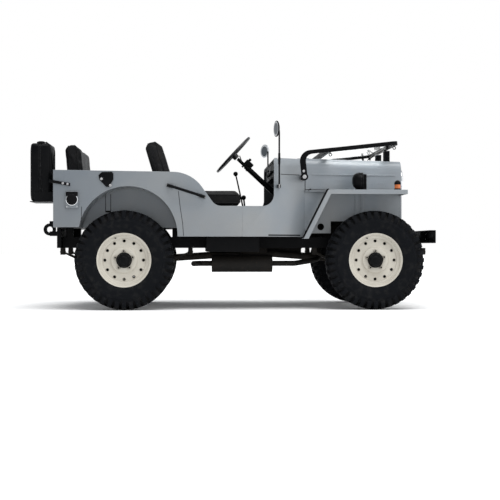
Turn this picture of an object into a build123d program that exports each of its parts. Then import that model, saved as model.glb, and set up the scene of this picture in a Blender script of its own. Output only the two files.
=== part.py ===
from build123d import *
import os
from math import atan2, cos, hypot, pi, radians, sin, tan

os.makedirs("parts", exist_ok=True)

# Open army 4x4 car: +X forward, +Y left, +Z up, ground at Z 0, all in millimetres.

# Overall layout
wheelbase = 2032
tub_half_width = 725
track_inset = 112
track = 2 * (tub_half_width - track_inset)
rear_overhang = 755
front_overhang = 490
overall_length = rear_overhang + wheelbase + front_overhang
rear_axle_x = rear_overhang - overall_length / 2
front_axle_x = rear_axle_x + wheelbase

# Tyres and wheels
tyre_radius = 402.5
tyre_width = 208
lug_count = 40
lug_share = 0.22
shoulder_tip_radius = 390
crown_root_radius = 386
shoulder_root_radius = 338
sidewall_radius = 328
bead_half_width = 80
rim_radius = 221
bead_seat_radius = 203
flange_thickness = 6
rim_thickness = 10
disc_thickness = 14
disc_inset = 45
vent_count = 12
vent_circle_radius = 155
vent_radius = 12
hub_ring_radius = 103
hub_ring_height = 17
hub_cap_radius = 56
hub_cap_height = 38
drum_radius = 140
drum_width = 70
round_sides = 40
small_sides = 24
seat_gap = 0.3
lug_pitch = 2 * pi / lug_count
axle_z = tyre_radius * cos(lug_share * lug_pitch)

# Ladder frame
rail_inner_y = 275
rail_outer_y = 335
rail_low_z = 500
rail_high_z = 592
rail_sheet = 8
rail_rear_x = rear_axle_x - 530
bumper_depth = 56
bumper_inset = 25
bumper_half_width = tub_half_width - bumper_inset
bumper_low_z = 540
bumper_high_z = 645
bumper_front_x = front_axle_x + front_overhang
rear_floor_z = 666

# Axles, springs and steering
tube_radius = 38
diff_radius = 118
diff_offset_y = -150
kingpin_inset = 113
kingpin_y = track / 2 - kingpin_inset
kingpin_radius = 15
kingpin_eye_radius = 42
kingpin_eye_height = 104
fork_thickness = 18
fork_gap = 1
backing_plate_radius = 150
backing_plate_thickness = 6
spindle_radius = 25
tie_arm = 170
tie_rod_radius = 14
tie_eye_radius = 22
tie_pin_radius = 8
spring_y = 300
spring_width = 50
spring_eye_z = 467
spring_eye_radius = 22
spring_pack = 40
leaf_half = 6
front_spring_reach = 460
rear_spring_reach = 530

# Tub
wall = 16
floor_sheet = 12
tub_rear_x = rear_axle_x - 560
tub_top_rear_z = 1124
tub_top_front_z = 1109
front_floor_z = rail_high_z
riser_x = rear_axle_x + 440
arch_x = rear_axle_x + 34
arch_z = 600
arch_radius = 395
wheelhouse_depth = 277
wheelhouse_inner_y = tub_half_width - wheelhouse_depth
side_joint_x = rear_axle_x + 948
sill_top_z = 838
door_top_x = rear_axle_x + 540
door_foot_x = rear_axle_x + 733.5
door_top_round = 285
door_foot_round = 90

# Cowl, bonnet and front sheet metal
cowl_rear_x = rear_axle_x + 1206
cowl_front_x = rear_axle_x + 1467
cowl_taper_x = rear_axle_x + 1150
cowl_top_z = 1235
cowl_foot_round = 95
cowl_top_round = 20
cowl_sheet = 14
bonnet_gap = 6
bonnet_rear_x = cowl_front_x + bonnet_gap
bonnet_front_x = rear_axle_x + 2289
fender_inset = 5
fender_width = 318
fender_outer_y = tub_half_width - fender_inset
fender_inner_y = fender_outer_y - fender_width
cowl_narrowing = 170
bonnet_rear_half = tub_half_width - cowl_narrowing
bonnet_lap = 8
bonnet_front_half = fender_inner_y + bonnet_lap
bonnet_rear_z = 1239
bonnet_front_z = 1225
bonnet_low_z = 978
bonnet_round = 80
bonnet_sheet = 12
hinge_x = cowl_front_x + bonnet_gap / 2
hinge_z = bonnet_rear_z + 8
hinge_radius = 7
hinge_leaf = 5
hinge_y = 350
hinge_half = 30
hinge_strap = 46
fender_top_z = bonnet_low_z - bonnet_gap
fender_sheet = 10
fender_lip = 36
fender_bend_x = rear_axle_x + 1644
fender_foot_x = rear_axle_x + 1443
fender_foot_z = 575
fender_front_x = bonnet_front_x
apron_low_z = 722
grille_x = rear_axle_x + 2275
grille_sheet = 20
grille_inset = 14
grille_half = fender_inner_y - grille_inset
grille_foot_inset = 30
grille_foot_half = fender_inner_y - grille_foot_inset
grille_low_z = rail_high_z
radiator_depth = 80
grille_top_z = 1203
grille_round = 66
slot_margin = 16
slot_pitch = 46
slot_width = 26
slot_low_z = 690
slot_high_z = 1130
headlamp_inset = 100
headlamp_y = grille_half - headlamp_inset
headlamp_z = 1066
headlamp_radius = 88
slot_count = int(2 * (headlamp_y - headlamp_radius - slot_margin) // slot_pitch)

# Windscreen, drawn folded forward over the bonnet
screen_pivot_x = rear_axle_x + 1452
screen_pivot_z = 1075
screen_slope = 6.23
screen_start = 196
screen_end = 790
screen_height = 194
screen_inset = 25
screen_half = tub_half_width - screen_inset
screen_rail = 42
screen_depth = 32
screen_arm_sheet = 12
screen_arm_y = screen_half - screen_arm_sheet / 2
screen_pin_radius = 8

side_signs = {"right": -1, "left": 1}


# Helpers

def save(piece, name):
    piece.part.label = name
    export_step(piece.part, f"parts/{name}.step")


def block(x, y, z, mode=Mode.ADD):
    # a box between the low and high value of each pair
    with Locations(((x[0] + x[1]) / 2, (y[0] + y[1]) / 2, (z[0] + z[1]) / 2)):
        Box(x[1] - x[0], y[1] - y[0], z[1] - z[0], mode=mode)


def outboard(sign, near, far):
    # the Y pair of a piece between two distances from the middle, on one side
    return (near, far) if sign > 0 else (-far, -near)


def bar(start, end, radius, sides=16, mode=Mode.ADD):
    # a many-sided round bar between two points
    run = Vector(*end) - Vector(*start)
    with BuildSketch(Plane(origin=start, z_dir=run)) as section:
        RegularPolygon(radius, sides)
    extrude(section.sketch, amount=run.length, mode=mode)


def pin(start, end, radius, mode=Mode.ADD):
    # a true cylinder between two points
    run = Vector(*end) - Vector(*start)
    with BuildSketch(Plane(origin=start, z_dir=run)) as section:
        Circle(radius)
    extrude(section.sketch, amount=run.length, mode=mode)


def turned(sections, sides=round_sides, mode=Mode.ADD):
    # a many-sided turned piece on the Y axis, from (y, radius) sections
    for (y_start, r_start), (y_end, r_end) in zip(sections, sections[1:]):
        with BuildSketch(Plane.XZ.offset(-y_start)) as first:
            RegularPolygon(r_start, sides)
        with BuildSketch(Plane.XZ.offset(-y_end)) as last:
            RegularPolygon(r_end, sides)
        loft([first.sketch, last.sketch], ruled=True, mode=mode)


def side_plane(y):
    # a plane facing the right side, drawn in X and Z
    return Plane.XZ.offset(-y)


def sheet(section, y, mode=Mode.ADD):
    # a side-view section drawn at the high Y of the pair, given the pair's width
    extrude(section.sketch, amount=y[1] - y[0], mode=mode)


# Tyres: bar lugs on both halves of the crown, set half a pitch apart

def lug_ring(tip_radius, root_radius, phase):
    corners = []
    for lug in range(lug_count):
        for radius, turn in ((tip_radius, -lug_share), (tip_radius, lug_share),
                             (root_radius, lug_share), (root_radius, 1 - lug_share)):
            angle = (lug + turn + phase) * lug_pitch + pi / 2
            corners.append((radius * cos(angle), radius * sin(angle)))
    return corners


with BuildPart() as tyre:
    for half, phase in ((1, 0), (-1, 0.5)):
        with BuildSketch(side_plane(0)) as crown:
            Polygon(*lug_ring(tyre_radius, crown_root_radius, phase), align=None)
        with BuildSketch(side_plane(half * tyre_width / 2)) as shoulder:
            Polygon(*lug_ring(shoulder_tip_radius, shoulder_root_radius, phase), align=None)
        loft([crown.sketch, shoulder.sketch], ruled=True)
    for half in (1, -1):
        turned([(half * bead_half_width, rim_radius), (half * tyre_width / 2, sidewall_radius)], mode=Mode.SUBTRACT)
    turned([(-bead_half_width, bead_seat_radius + seat_gap), (bead_half_width, bead_seat_radius + seat_gap)],
           mode=Mode.SUBTRACT)

# Steel wheels: rim, dished disc with a ring of vents, raised hub ring, hub cap and brake drum
flange_y = bead_half_width + seat_gap
rim_edge_y = flange_y + flange_thickness
disc_back_y = disc_inset - disc_thickness
drum_in_y = disc_back_y - drum_width
cap_y = disc_inset + hub_ring_height
spindle_depth = 40
with BuildPart() as wheel:
    turned([(-rim_edge_y, rim_radius), (-flange_y, rim_radius)])
    turned([(-flange_y, bead_seat_radius), (flange_y, bead_seat_radius)])
    turned([(flange_y, rim_radius), (rim_edge_y, rim_radius)])
    turned([(-rim_edge_y, bead_seat_radius - rim_thickness), (disc_back_y, bead_seat_radius - rim_thickness)],
           mode=Mode.SUBTRACT)
    turned([(disc_inset, bead_seat_radius - 3 * rim_thickness), (rim_edge_y, bead_seat_radius - rim_thickness)],
           mode=Mode.SUBTRACT)
    turned([(disc_inset, hub_ring_radius), (disc_inset + hub_ring_height, hub_ring_radius)], small_sides)
    turned([(drum_in_y, drum_radius), (disc_back_y, drum_radius)], small_sides)
    turned([(cap_y, hub_cap_radius), (cap_y + hub_cap_height, hub_cap_radius - flange_thickness)], small_sides)
    pin((0, drum_in_y, 0), (0, drum_in_y + spindle_depth, 0), spindle_radius + seat_gap, Mode.SUBTRACT)
    with BuildSketch(side_plane(disc_inset)) as vents:
        with PolarLocations(vent_circle_radius, vent_count):
            RegularPolygon(vent_radius, 8)
    extrude(vents.sketch, amount=disc_thickness, mode=Mode.SUBTRACT)

for axle, axle_x in (("front", front_axle_x), ("rear", rear_axle_x)):
    for side, sign in side_signs.items():
        seat = Location((axle_x, sign * track / 2, axle_z), (0, 0, 90 - sign * 90))
        for kind, piece in (("tyre", tyre), ("wheel", wheel)):
            with BuildPart() as placed:
                with Locations(seat):
                    add(piece.part)
            save(placed, f"{kind}_{axle}_{side}")

drum_face_y = track / 2 + drum_in_y

# Frame rails: channels open inward, with pads that carry the raised rear floor
rail_front_x = bumper_front_x - bumper_depth
pad_length = 60
pad_proud = 1
pad_places = (rail_rear_x + pad_length, riser_x - pad_length / 2)
for side, sign in side_signs.items():
    with BuildPart() as rail:
        block((rail_rear_x, rail_front_x), outboard(sign, rail_inner_y, rail_outer_y), (rail_low_z, rail_high_z))
        block((rail_rear_x, rail_front_x), outboard(sign, rail_inner_y - pad_proud, rail_outer_y - rail_sheet),
              (rail_low_z + rail_sheet, rail_high_z - rail_sheet), Mode.SUBTRACT)
        for pad_x in pad_places:
            block((pad_x - pad_length / 2, pad_x + pad_length / 2), outboard(sign, rail_inner_y, rail_outer_y),
                  (rail_high_z, rear_floor_z))
    save(rail, f"frame_rail_{side}")

# Cross members between the rails, and the deep one that closes the rear
tail_depth = 36
tail_half = 420
member_depth = 50
member_places = (rear_axle_x + 300, rear_axle_x + 880, grille_x - radiator_depth / 2)
with BuildPart() as members:
    block((rail_rear_x - tail_depth, rail_rear_x), (-tail_half, tail_half), (rail_low_z, rear_floor_z))
    for member_x in member_places:
        block((member_x - member_depth / 2, member_x + member_depth / 2), (-rail_inner_y, rail_inner_y),
              (rail_low_z, rail_high_z))
save(members, "cross_members")

# Front bumper: a channel with its open side to the rear
with BuildPart() as bumper:
    block((rail_front_x, bumper_front_x), (-bumper_half_width, bumper_half_width), (bumper_low_z, bumper_high_z))
    for sign in side_signs.values():
        block((rail_front_x, bumper_front_x - rail_sheet), outboard(sign, rail_outer_y, bumper_half_width),
              (bumper_low_z + rail_sheet, bumper_high_z - rail_sheet), Mode.SUBTRACT)
save(bumper, "front_bumper")

# Pintle hook on the rear cross member
hook_plate = 12
hook_reach = 110
hook_radius = 52
hook_throat = 26
hook_width = 46
hook_z = 632
hook_face_x = rail_rear_x - tail_depth
hook_plate_half = 65
hook_plate_z = (hook_z - 62, hook_z + 34)
hook_shank_z = (hook_z - 30, hook_z + 10)
hook_ring_z = hook_z + hook_throat
hook_latch_z = (hook_ring_z + hook_radius - 6, hook_ring_z + hook_radius + 20)
with BuildPart() as hook:
    block((hook_face_x - hook_plate, hook_face_x), (-hook_plate_half, hook_plate_half), hook_plate_z)
    block((hook_face_x - hook_reach, hook_face_x - hook_plate), (-hook_width / 2, hook_width / 2),
          hook_shank_z)
    with BuildSketch(side_plane(hook_width / 2)) as ring:
        with Locations((hook_face_x - hook_reach, hook_ring_z)):
            RegularPolygon(hook_radius, small_sides)
            RegularPolygon(hook_throat, 16, mode=Mode.SUBTRACT)
    extrude(ring.sketch, amount=hook_width)
    block((hook_face_x - hook_reach, hook_face_x - hook_reach + hook_radius), (-hook_width / 2, hook_width / 2),
          hook_latch_z)
save(hook, "pintle_hook")

# Axles: tubes with an offset differential, and kingpin eyes on the front one
diff_half_width = 95
diff_shoulder = 70
pad_half = 45
nose_reach = diff_radius + 40
nose_radius = 46
plate_air = 2
hub_air = 6
clamp_z = axle_z - tube_radius - seat_gap
spring_sag = spring_eye_z + leaf_half - clamp_z
axle_tubes = {
    "front": (front_axle_x, kingpin_y, -1, front_spring_reach),
    "rear": (rear_axle_x, drum_face_y - backing_plate_thickness, 1, rear_spring_reach),
}
for axle, (axle_x, tube_end_y, nose, reach) in axle_tubes.items():
    # the pads stand on the spring where its curve has risen to their edges
    pad_low_z = clamp_z + seat_gap + pad_half ** 2 * spring_sag / (reach ** 2 + spring_sag ** 2)
    with BuildPart() as axle_case:
        bar((axle_x, -tube_end_y, axle_z), (axle_x, tube_end_y, axle_z), tube_radius)
        for near, far, near_radius, far_radius in (
            (-diff_half_width, -diff_shoulder, tube_radius, diff_radius),
            (-diff_shoulder, diff_shoulder, diff_radius, diff_radius),
            (diff_shoulder, diff_half_width, diff_radius, tube_radius),
        ):
            with BuildSketch(side_plane(diff_offset_y + near)) as first:
                with Locations((axle_x, axle_z)):
                    RegularPolygon(near_radius, small_sides)
            with BuildSketch(side_plane(diff_offset_y + far)) as last:
                with Locations((axle_x, axle_z)):
                    RegularPolygon(far_radius, small_sides)
            loft([first.sketch, last.sketch], ruled=True)
        bar((axle_x, diff_offset_y, axle_z), (axle_x + nose * nose_reach, diff_offset_y, axle_z), nose_radius)
        for sign in side_signs.values():
            block((axle_x - pad_half, axle_x + pad_half), outboard(sign, spring_y - pad_half, spring_y + pad_half),
                  (pad_low_z, axle_z))
            if axle == "front":
                pin((axle_x, sign * kingpin_y, axle_z - kingpin_eye_height / 2),
                    (axle_x, sign * kingpin_y, axle_z + kingpin_eye_height / 2), kingpin_eye_radius)
                pin((axle_x, sign * kingpin_y, axle_z - kingpin_eye_height / 2),
                    (axle_x, sign * kingpin_y, axle_z + kingpin_eye_height / 2),
                    kingpin_radius + seat_gap, Mode.SUBTRACT)
            else:
                bar((axle_x, sign * tube_end_y, axle_z), (axle_x, sign * (drum_face_y - plate_air), axle_z),
                    backing_plate_radius, small_sides)
                pin((axle_x, sign * tube_end_y, axle_z),
                    (axle_x, sign * (drum_face_y + spindle_depth - hub_air), axle_z), spindle_radius)
    save(axle_case, f"{axle}_axle")

# Leaf springs under the axles, with shackle plates up to the rails
shackle_sheet = 8
shackle_half = 18
shackle_drop = 24
with BuildPart() as springs:
    for axle_x, reach in ((front_axle_x, front_spring_reach), (rear_axle_x, rear_spring_reach)):
        for sign in side_signs.values():
            leaf = outboard(sign, spring_y - spring_width / 2, spring_y + spring_width / 2)
            with BuildSketch(side_plane(leaf[1])) as pack:
                with BuildLine():
                    top = ThreePointArc((axle_x - reach, spring_eye_z + leaf_half), (axle_x, clamp_z),
                                        (axle_x + reach, spring_eye_z + leaf_half))
                    low = ThreePointArc((axle_x - reach, spring_eye_z - leaf_half), (axle_x, clamp_z - spring_pack),
                                        (axle_x + reach, spring_eye_z - leaf_half))
                    Line(top @ 0, low @ 0)
                    Line(top @ 1, low @ 1)
                make_face()
            sheet(pack, leaf)
            for eye_x in (axle_x - reach, axle_x + reach):
                bar((eye_x, leaf[0], spring_eye_z), (eye_x, leaf[1], spring_eye_z), spring_eye_radius)
                for cheek in (leaf[0] - shackle_sheet, leaf[1]):
                    block((eye_x - shackle_half, eye_x + shackle_half), (cheek, cheek + shackle_sheet),
                          (spring_eye_z - shackle_drop, rail_low_z))
save(springs, "leaf_springs")

# Steering knuckles: a fork on each kingpin, the brake backing plate, the spindle and the tie-rod arm
fork_half = 34
fork_top = kingpin_eye_height / 2 + fork_gap
web_sheet = 16
web_end_y = drum_face_y - backing_plate_thickness - plate_air
web_y = (web_end_y - web_sheet, web_end_y)
arm_half = 16
tie_pin_end = 8
tie_z = axle_z
for side, sign in side_signs.items():
    with BuildPart() as knuckle:
        for low, high in ((-fork_top - fork_thickness, -fork_top), (fork_top, fork_top + fork_thickness)):
            block((front_axle_x - fork_half, front_axle_x + fork_half),
                  outboard(sign, kingpin_y - fork_half, web_y[1]), (axle_z + low, axle_z + high))
        block((front_axle_x - fork_half, front_axle_x + fork_half), outboard(sign, *web_y),
              (axle_z - fork_top - fork_thickness, axle_z + fork_top + fork_thickness))
        bar((front_axle_x, sign * web_y[1], axle_z), (front_axle_x, sign * (drum_face_y - plate_air), axle_z),
            backing_plate_radius, small_sides)
        pin((front_axle_x, sign * web_y[1], axle_z),
            (front_axle_x, sign * (drum_face_y + spindle_depth - hub_air), axle_z), spindle_radius)
        pin((front_axle_x, sign * kingpin_y, axle_z - fork_top - fork_thickness),
            (front_axle_x, sign * kingpin_y, axle_z + fork_top + fork_thickness), kingpin_radius)
        # the arm reaches forward below the tie rod's eye and carries its pin
        arm_top_z = tie_z - tie_rod_radius - fork_gap
        block((front_axle_x - fork_half, front_axle_x + tie_arm + arm_half),
              outboard(sign, kingpin_y - arm_half, kingpin_y + arm_half),
              (axle_z - fork_top - fork_thickness, axle_z - fork_top))
        block((front_axle_x + tie_arm - arm_half, front_axle_x + tie_arm + arm_half),
              outboard(sign, kingpin_y - arm_half, kingpin_y + arm_half), (axle_z - fork_top, arm_top_z))
        pin((front_axle_x + tie_arm, sign * kingpin_y, arm_top_z),
            (front_axle_x + tie_arm, sign * kingpin_y, tie_z + tie_rod_radius + tie_pin_end), tie_pin_radius)
    save(knuckle, f"knuckle_{side}")

# Tie rod across the front, an eye at each end
with BuildPart() as tie_rod:
    bar((front_axle_x + tie_arm, -kingpin_y, tie_z), (front_axle_x + tie_arm, kingpin_y, tie_z), tie_rod_radius, 12)
    for sign in side_signs.values():
        pin((front_axle_x + tie_arm, sign * kingpin_y, tie_z - tie_rod_radius),
            (front_axle_x + tie_arm, sign * kingpin_y, tie_z + tie_rod_radius), tie_eye_radius)
        pin((front_axle_x + tie_arm, sign * kingpin_y, tie_z - tie_rod_radius),
            (front_axle_x + tie_arm, sign * kingpin_y, tie_z + tie_rod_radius), tie_pin_radius + seat_gap,
            Mode.SUBTRACT)
save(tie_rod, "tie_rod")

# Engine, gearbox and transfer case as one closed mass
engine_rear_x = rear_axle_x + 1560
engine_front_x = rear_axle_x + 2120
engine_half = 170
transfer_x = (rear_axle_x + 960, rear_axle_x + 1180)
shaft_z = 455
engine_z = (540, 1020)
bell_x = (engine_rear_x - 80, engine_rear_x)
bell_z = (500, 760)
gearbox_half = 110
gearbox_z = (440, 580)
transfer_y = (diff_offset_y - 80, 90)
transfer_z = (410, 580)
manifold_x = (engine_rear_x + 30, engine_front_x - 100)
manifold_y = -230
manifold_z = (720, 790)
with BuildPart() as powertrain:
    block((engine_rear_x, engine_front_x), (-engine_half, engine_half), engine_z)
    block(bell_x, (-engine_half, engine_half), bell_z)
    block((transfer_x[1], bell_x[0]), (-gearbox_half, gearbox_half), gearbox_z)
    block(transfer_x, transfer_y, transfer_z)
    block(manifold_x, (manifold_y, -engine_half), manifold_z)
save(powertrain, "powertrain")

# Propeller shafts from the transfer case to both axles
shaft_radius = 30
with BuildPart() as shafts:
    for case_x, nose_x in ((transfer_x[0], rear_axle_x + nose_reach), (transfer_x[1], front_axle_x - nose_reach)):
        # each tilted end stops where its edge just clears the flange it meets
        way = 1 if nose_x > case_x else -1
        room = shaft_radius * (shaft_z - axle_z) / abs(nose_x - case_x) + seat_gap
        bar((case_x + way * room, diff_offset_y, shaft_z), (nose_x - way * room, diff_offset_y, axle_z),
            shaft_radius, 12)
save(shafts, "propeller_shafts")

# Exhaust: down pipe, silencer under the right sill, tail pipe turned out ahead of the rear wheel
pipe_radius = 22
pipe_y = -420
pipe_z = 373
silencer_radius = 72
silencer_x = (rear_axle_x + 707, rear_axle_x + 1208)
down_x = rear_axle_x + 1620
down_y = -205
down_rise = 30
front_run = 190
tailpipe_run = 100
tailpipe_turn = 150
pipe_bend = 50
with BuildPart() as exhaust:
    bar((silencer_x[0], pipe_y, pipe_z), (silencer_x[1], pipe_y, pipe_z), silencer_radius, small_sides)
    runs = (
        ((silencer_x[1], pipe_y, pipe_z), (silencer_x[1] + front_run, pipe_y, pipe_z),
         (down_x, down_y, pipe_z + down_rise), (down_x, down_y, manifold_z[0])),
        ((silencer_x[0], pipe_y, pipe_z), (silencer_x[0] - tailpipe_run, pipe_y, pipe_z),
         (silencer_x[0] - tailpipe_turn, pipe_y - tailpipe_turn, pipe_z)),
    )
    for run in runs:
        with BuildLine() as route:
            FilletPolyline(*run, radius=pipe_bend)
        with BuildSketch(Plane(origin=route.line @ 0, z_dir=route.line % 0)) as section:
            RegularPolygon(pipe_radius, 12)
        sweep(section.sketch, path=route.line, transition=Transition.TRANSFORMED)
save(exhaust, "exhaust")

# Wells sunk below the front floor on both sides of the frame
well_x = (rear_axle_x + 662, rear_axle_x + 1089)
well_low_z = 470
well_inset = 85
well_outer_y = tub_half_width - well_inset
well_air = 15

# Floor: low in front, a riser, then the raised rear floor between the wheelhouses
firewall_x = (cowl_front_x - wall, cowl_front_x)
inner_half = tub_half_width - wall
house_outer_radius = arch_radius + floor_sheet
house_x = (arch_x - house_outer_radius, arch_x + house_outer_radius)
rear_floor_top_z = rear_floor_z + floor_sheet
taper_angle = atan2(tub_half_width - bonnet_rear_half, cowl_front_x - cowl_taper_x)
taper_mitre_x = cowl_taper_x - wall * tan(taper_angle / 2)
taper_inner_half = bonnet_rear_half - wall / cos(taper_angle)
firewall_inner_half = taper_inner_half + wall * tan(taper_angle)
with BuildPart() as floor:
    with BuildSketch(Plane.XY.offset(front_floor_z)) as plan:
        Polygon((riser_x, -inner_half), (taper_mitre_x, -inner_half), (firewall_x[0], -firewall_inner_half),
                (firewall_x[0], firewall_inner_half), (taper_mitre_x, inner_half), (riser_x, inner_half), align=None)
    extrude(plan.sketch, amount=floor_sheet)
    block((riser_x, riser_x + floor_sheet), (-inner_half, inner_half), (front_floor_z, rear_floor_top_z))
    block((tub_rear_x + wall, riser_x), (-inner_half, inner_half), (rear_floor_z, rear_floor_top_z))
    for sign in side_signs.values():
        block((house_x[0], riser_x), outboard(sign, wheelhouse_inner_y, inner_half),
              (rear_floor_z, rear_floor_top_z), Mode.SUBTRACT)
        block(well_x, outboard(sign, rail_outer_y + well_air, well_outer_y), (well_low_z, front_floor_z))
save(floor, "floor")

# Wheelhouses over the rear wheels: an arched roof closed by an inner wall
with BuildPart() as wheelhouses:
    for sign in side_signs.values():
        roof = outboard(sign, wheelhouse_inner_y, inner_half)
        hollow = outboard(sign, wheelhouse_inner_y + floor_sheet, inner_half)
        for radius, span, mode in ((house_outer_radius, roof, Mode.ADD), (arch_radius, hollow, Mode.SUBTRACT)):
            with BuildSketch(side_plane(span[1])) as arch:
                with Locations((arch_x, arch_z)):
                    Circle(radius)
            sheet(arch, span, mode)
        block(house_x, roof, (arch_z - house_outer_radius, rear_floor_z), Mode.SUBTRACT)
save(wheelhouses, "wheelhouses")

# Body sides: rear quarter with its wheel arch, the swept door cut and the sill
for side, sign in side_signs.items():
    skin = outboard(sign, inner_half, tub_half_width)
    with BuildPart() as body_side:
        with BuildSketch(side_plane(skin[1])) as outline:
            Polygon((tub_rear_x, rear_floor_z), (tub_rear_x, tub_top_rear_z), (door_top_x, tub_top_front_z),
                    (door_foot_x, sill_top_z), (side_joint_x, sill_top_z), (side_joint_x, front_floor_z),
                    (arch_x, front_floor_z), (arch_x, rear_floor_z), align=None)
            for corner, radius in (((door_top_x, tub_top_front_z), door_top_round),
                                   ((door_foot_x, sill_top_z), door_foot_round)):
                local = Vector(corner[0], corner[1])
                fillet(outline.vertices().sort_by_distance(local)[0], radius)
            with Locations((arch_x, arch_z)):
                Circle(arch_radius, mode=Mode.SUBTRACT)
        sheet(outline, skin)
    save(body_side, f"body_side_{side}")

# Rear panel between the body sides
with BuildPart() as rear_panel:
    block((tub_rear_x, tub_rear_x + wall), (-inner_half, inner_half), (rear_floor_z, tub_top_rear_z))
save(rear_panel, "rear_panel")

# Cowl: tapered sides, top with rounded shoulders and firewall as one welded piece
def cowl_mass(rear_half, bend_x, front_x, front_half, top_z, shoulder):
    with BuildPart() as mass:
        with BuildSketch(Plane.XY.offset(front_floor_z)) as plan:
            Polygon((side_joint_x, -rear_half), (bend_x, -rear_half), (front_x, -front_half),
                    (front_x, front_half), (bend_x, rear_half), (side_joint_x, rear_half), align=None)
        extrude(plan.sketch, amount=top_z - front_floor_z)
        rim = mass.faces().sort_by(Axis.Z)[-1].edges()
        fillet([edge for edge in rim if abs((edge % 0.5).X) > 0.5], shoulder)
    return mass.part


with BuildPart() as cowl:
    add(cowl_mass(tub_half_width, cowl_taper_x, cowl_front_x, bonnet_rear_half, cowl_top_z, bonnet_round))
    add(cowl_mass(inner_half, taper_mitre_x, firewall_x[0], firewall_inner_half, cowl_top_z - cowl_sheet,
                  bonnet_round - wall), mode=Mode.SUBTRACT)
    with BuildSketch(side_plane(tub_half_width)) as outline:
        Polygon((side_joint_x, front_floor_z), (side_joint_x, sill_top_z), (cowl_rear_x, sill_top_z),
                (cowl_rear_x, cowl_top_z), (cowl_front_x, cowl_top_z), (cowl_front_x, front_floor_z), align=None)
        fillet(outline.vertices().sort_by_distance(Vector(cowl_rear_x, sill_top_z))[0], cowl_foot_round)
        fillet(outline.vertices().sort_by_distance(Vector(cowl_rear_x, cowl_top_z))[0], cowl_top_round)
    sheet(outline, (-tub_half_width, tub_half_width), Mode.INTERSECT)
    # hinge barrels for the bonnet, on straps along the cowl's front edge
    for sign in side_signs.values():
        barrel = outboard(sign, hinge_y - hinge_half, hinge_y + hinge_half)
        block((hinge_x - hinge_strap, hinge_x - bonnet_gap), barrel, (cowl_top_z, hinge_z))
        block((hinge_x - bonnet_gap, hinge_x), barrel, (hinge_z - hinge_leaf, hinge_z))
        pin((hinge_x, barrel[0], hinge_z), (hinge_x, barrel[1], hinge_z), hinge_radius)
save(cowl, "cowl")

# Dashboard hung under the cowl top
dash_x = (cowl_rear_x + cowl_top_round, cowl_rear_x + cowl_top_round + wall)
dash_low_z = 1100
dash_inset = 85
dash_half = tub_half_width - dash_inset
dash_top_z = cowl_top_z - cowl_sheet
dash_corner = 80
with BuildPart() as dashboard:
    with BuildSketch(Plane.YZ.offset(dash_x[0])) as face:
        Polygon((-dash_half, dash_low_z), (-dash_half, dash_top_z - dash_corner),
                (dash_corner - dash_half, dash_top_z), (dash_half - dash_corner, dash_top_z),
                (dash_half, dash_top_z - dash_corner), (dash_half, dash_low_z), align=None)
    extrude(face.sketch, amount=dash_x[1] - dash_x[0])
save(dashboard, "dashboard")

# Front fenders: flat top, rolled lip, slanted tail and the inner apron with pressed ribs
tail_width = 150
tail_inner_y = fender_outer_y - tail_width
apron_sheet = 14
rib_places = (rear_axle_x + 1915, rear_axle_x + 1965)
rib_half = 12
rib_depth = 6
splash_x = rear_axle_x + 1700
splash_low_z = 622
splash_round = 70
splash_hole = (rear_axle_x + 1616, 676)
splash_hole_radius = 28
tail_run = hypot(fender_bend_x - fender_foot_x, fender_top_z - fender_foot_z)
for side, sign in side_signs.items():
    with BuildPart() as fender:
        for near, far, depth in ((tail_inner_y, fender_outer_y, fender_sheet),
                                 (fender_outer_y - fender_sheet, fender_outer_y, fender_lip)):
            # the strip follows the flat top, then bends down along the slanted tail
            tail_x = depth * tail_run / (fender_top_z - fender_foot_z)
            bend_x = fender_bend_x + tail_x - depth * (fender_bend_x - fender_foot_x) / (fender_top_z - fender_foot_z)
            strip = outboard(sign, near, far)
            with BuildSketch(side_plane(strip[1])) as profile:
                Polygon((fender_front_x, fender_top_z), (fender_bend_x, fender_top_z), (fender_foot_x, fender_foot_z),
                        (fender_foot_x + tail_x, fender_foot_z), (bend_x, fender_top_z - depth),
                        (fender_front_x, fender_top_z - depth), align=None)
            sheet(profile, strip)
        block((fender_front_x - fender_sheet, fender_front_x), outboard(sign, fender_inner_y, fender_outer_y),
              (fender_top_z - fender_lip, fender_top_z))
        block((cowl_front_x, fender_front_x), outboard(sign, fender_inner_y, tail_inner_y),
              (fender_top_z - fender_sheet, fender_top_z))
        apron = outboard(sign, fender_inner_y - apron_sheet, fender_inner_y)
        with BuildSketch(side_plane(apron[1])) as panel:
            Polygon((cowl_front_x, splash_low_z), (splash_x, splash_low_z), (splash_x, apron_low_z),
                    (grille_x, apron_low_z), (grille_x, fender_top_z), (cowl_front_x, fender_top_z), align=None)
            fillet(panel.vertices().sort_by_distance(Vector(cowl_front_x, splash_low_z))[0], splash_round)
            with Locations(splash_hole):
                Circle(splash_hole_radius, mode=Mode.SUBTRACT)
        sheet(panel, apron)
        for rib_x in rib_places:
            block((rib_x - rib_half, rib_x + rib_half), outboard(sign, fender_inner_y, fender_inner_y + rib_depth),
                  (apron_low_z, fender_top_z - fender_sheet))
    save(fender, f"fender_{side}")

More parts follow.
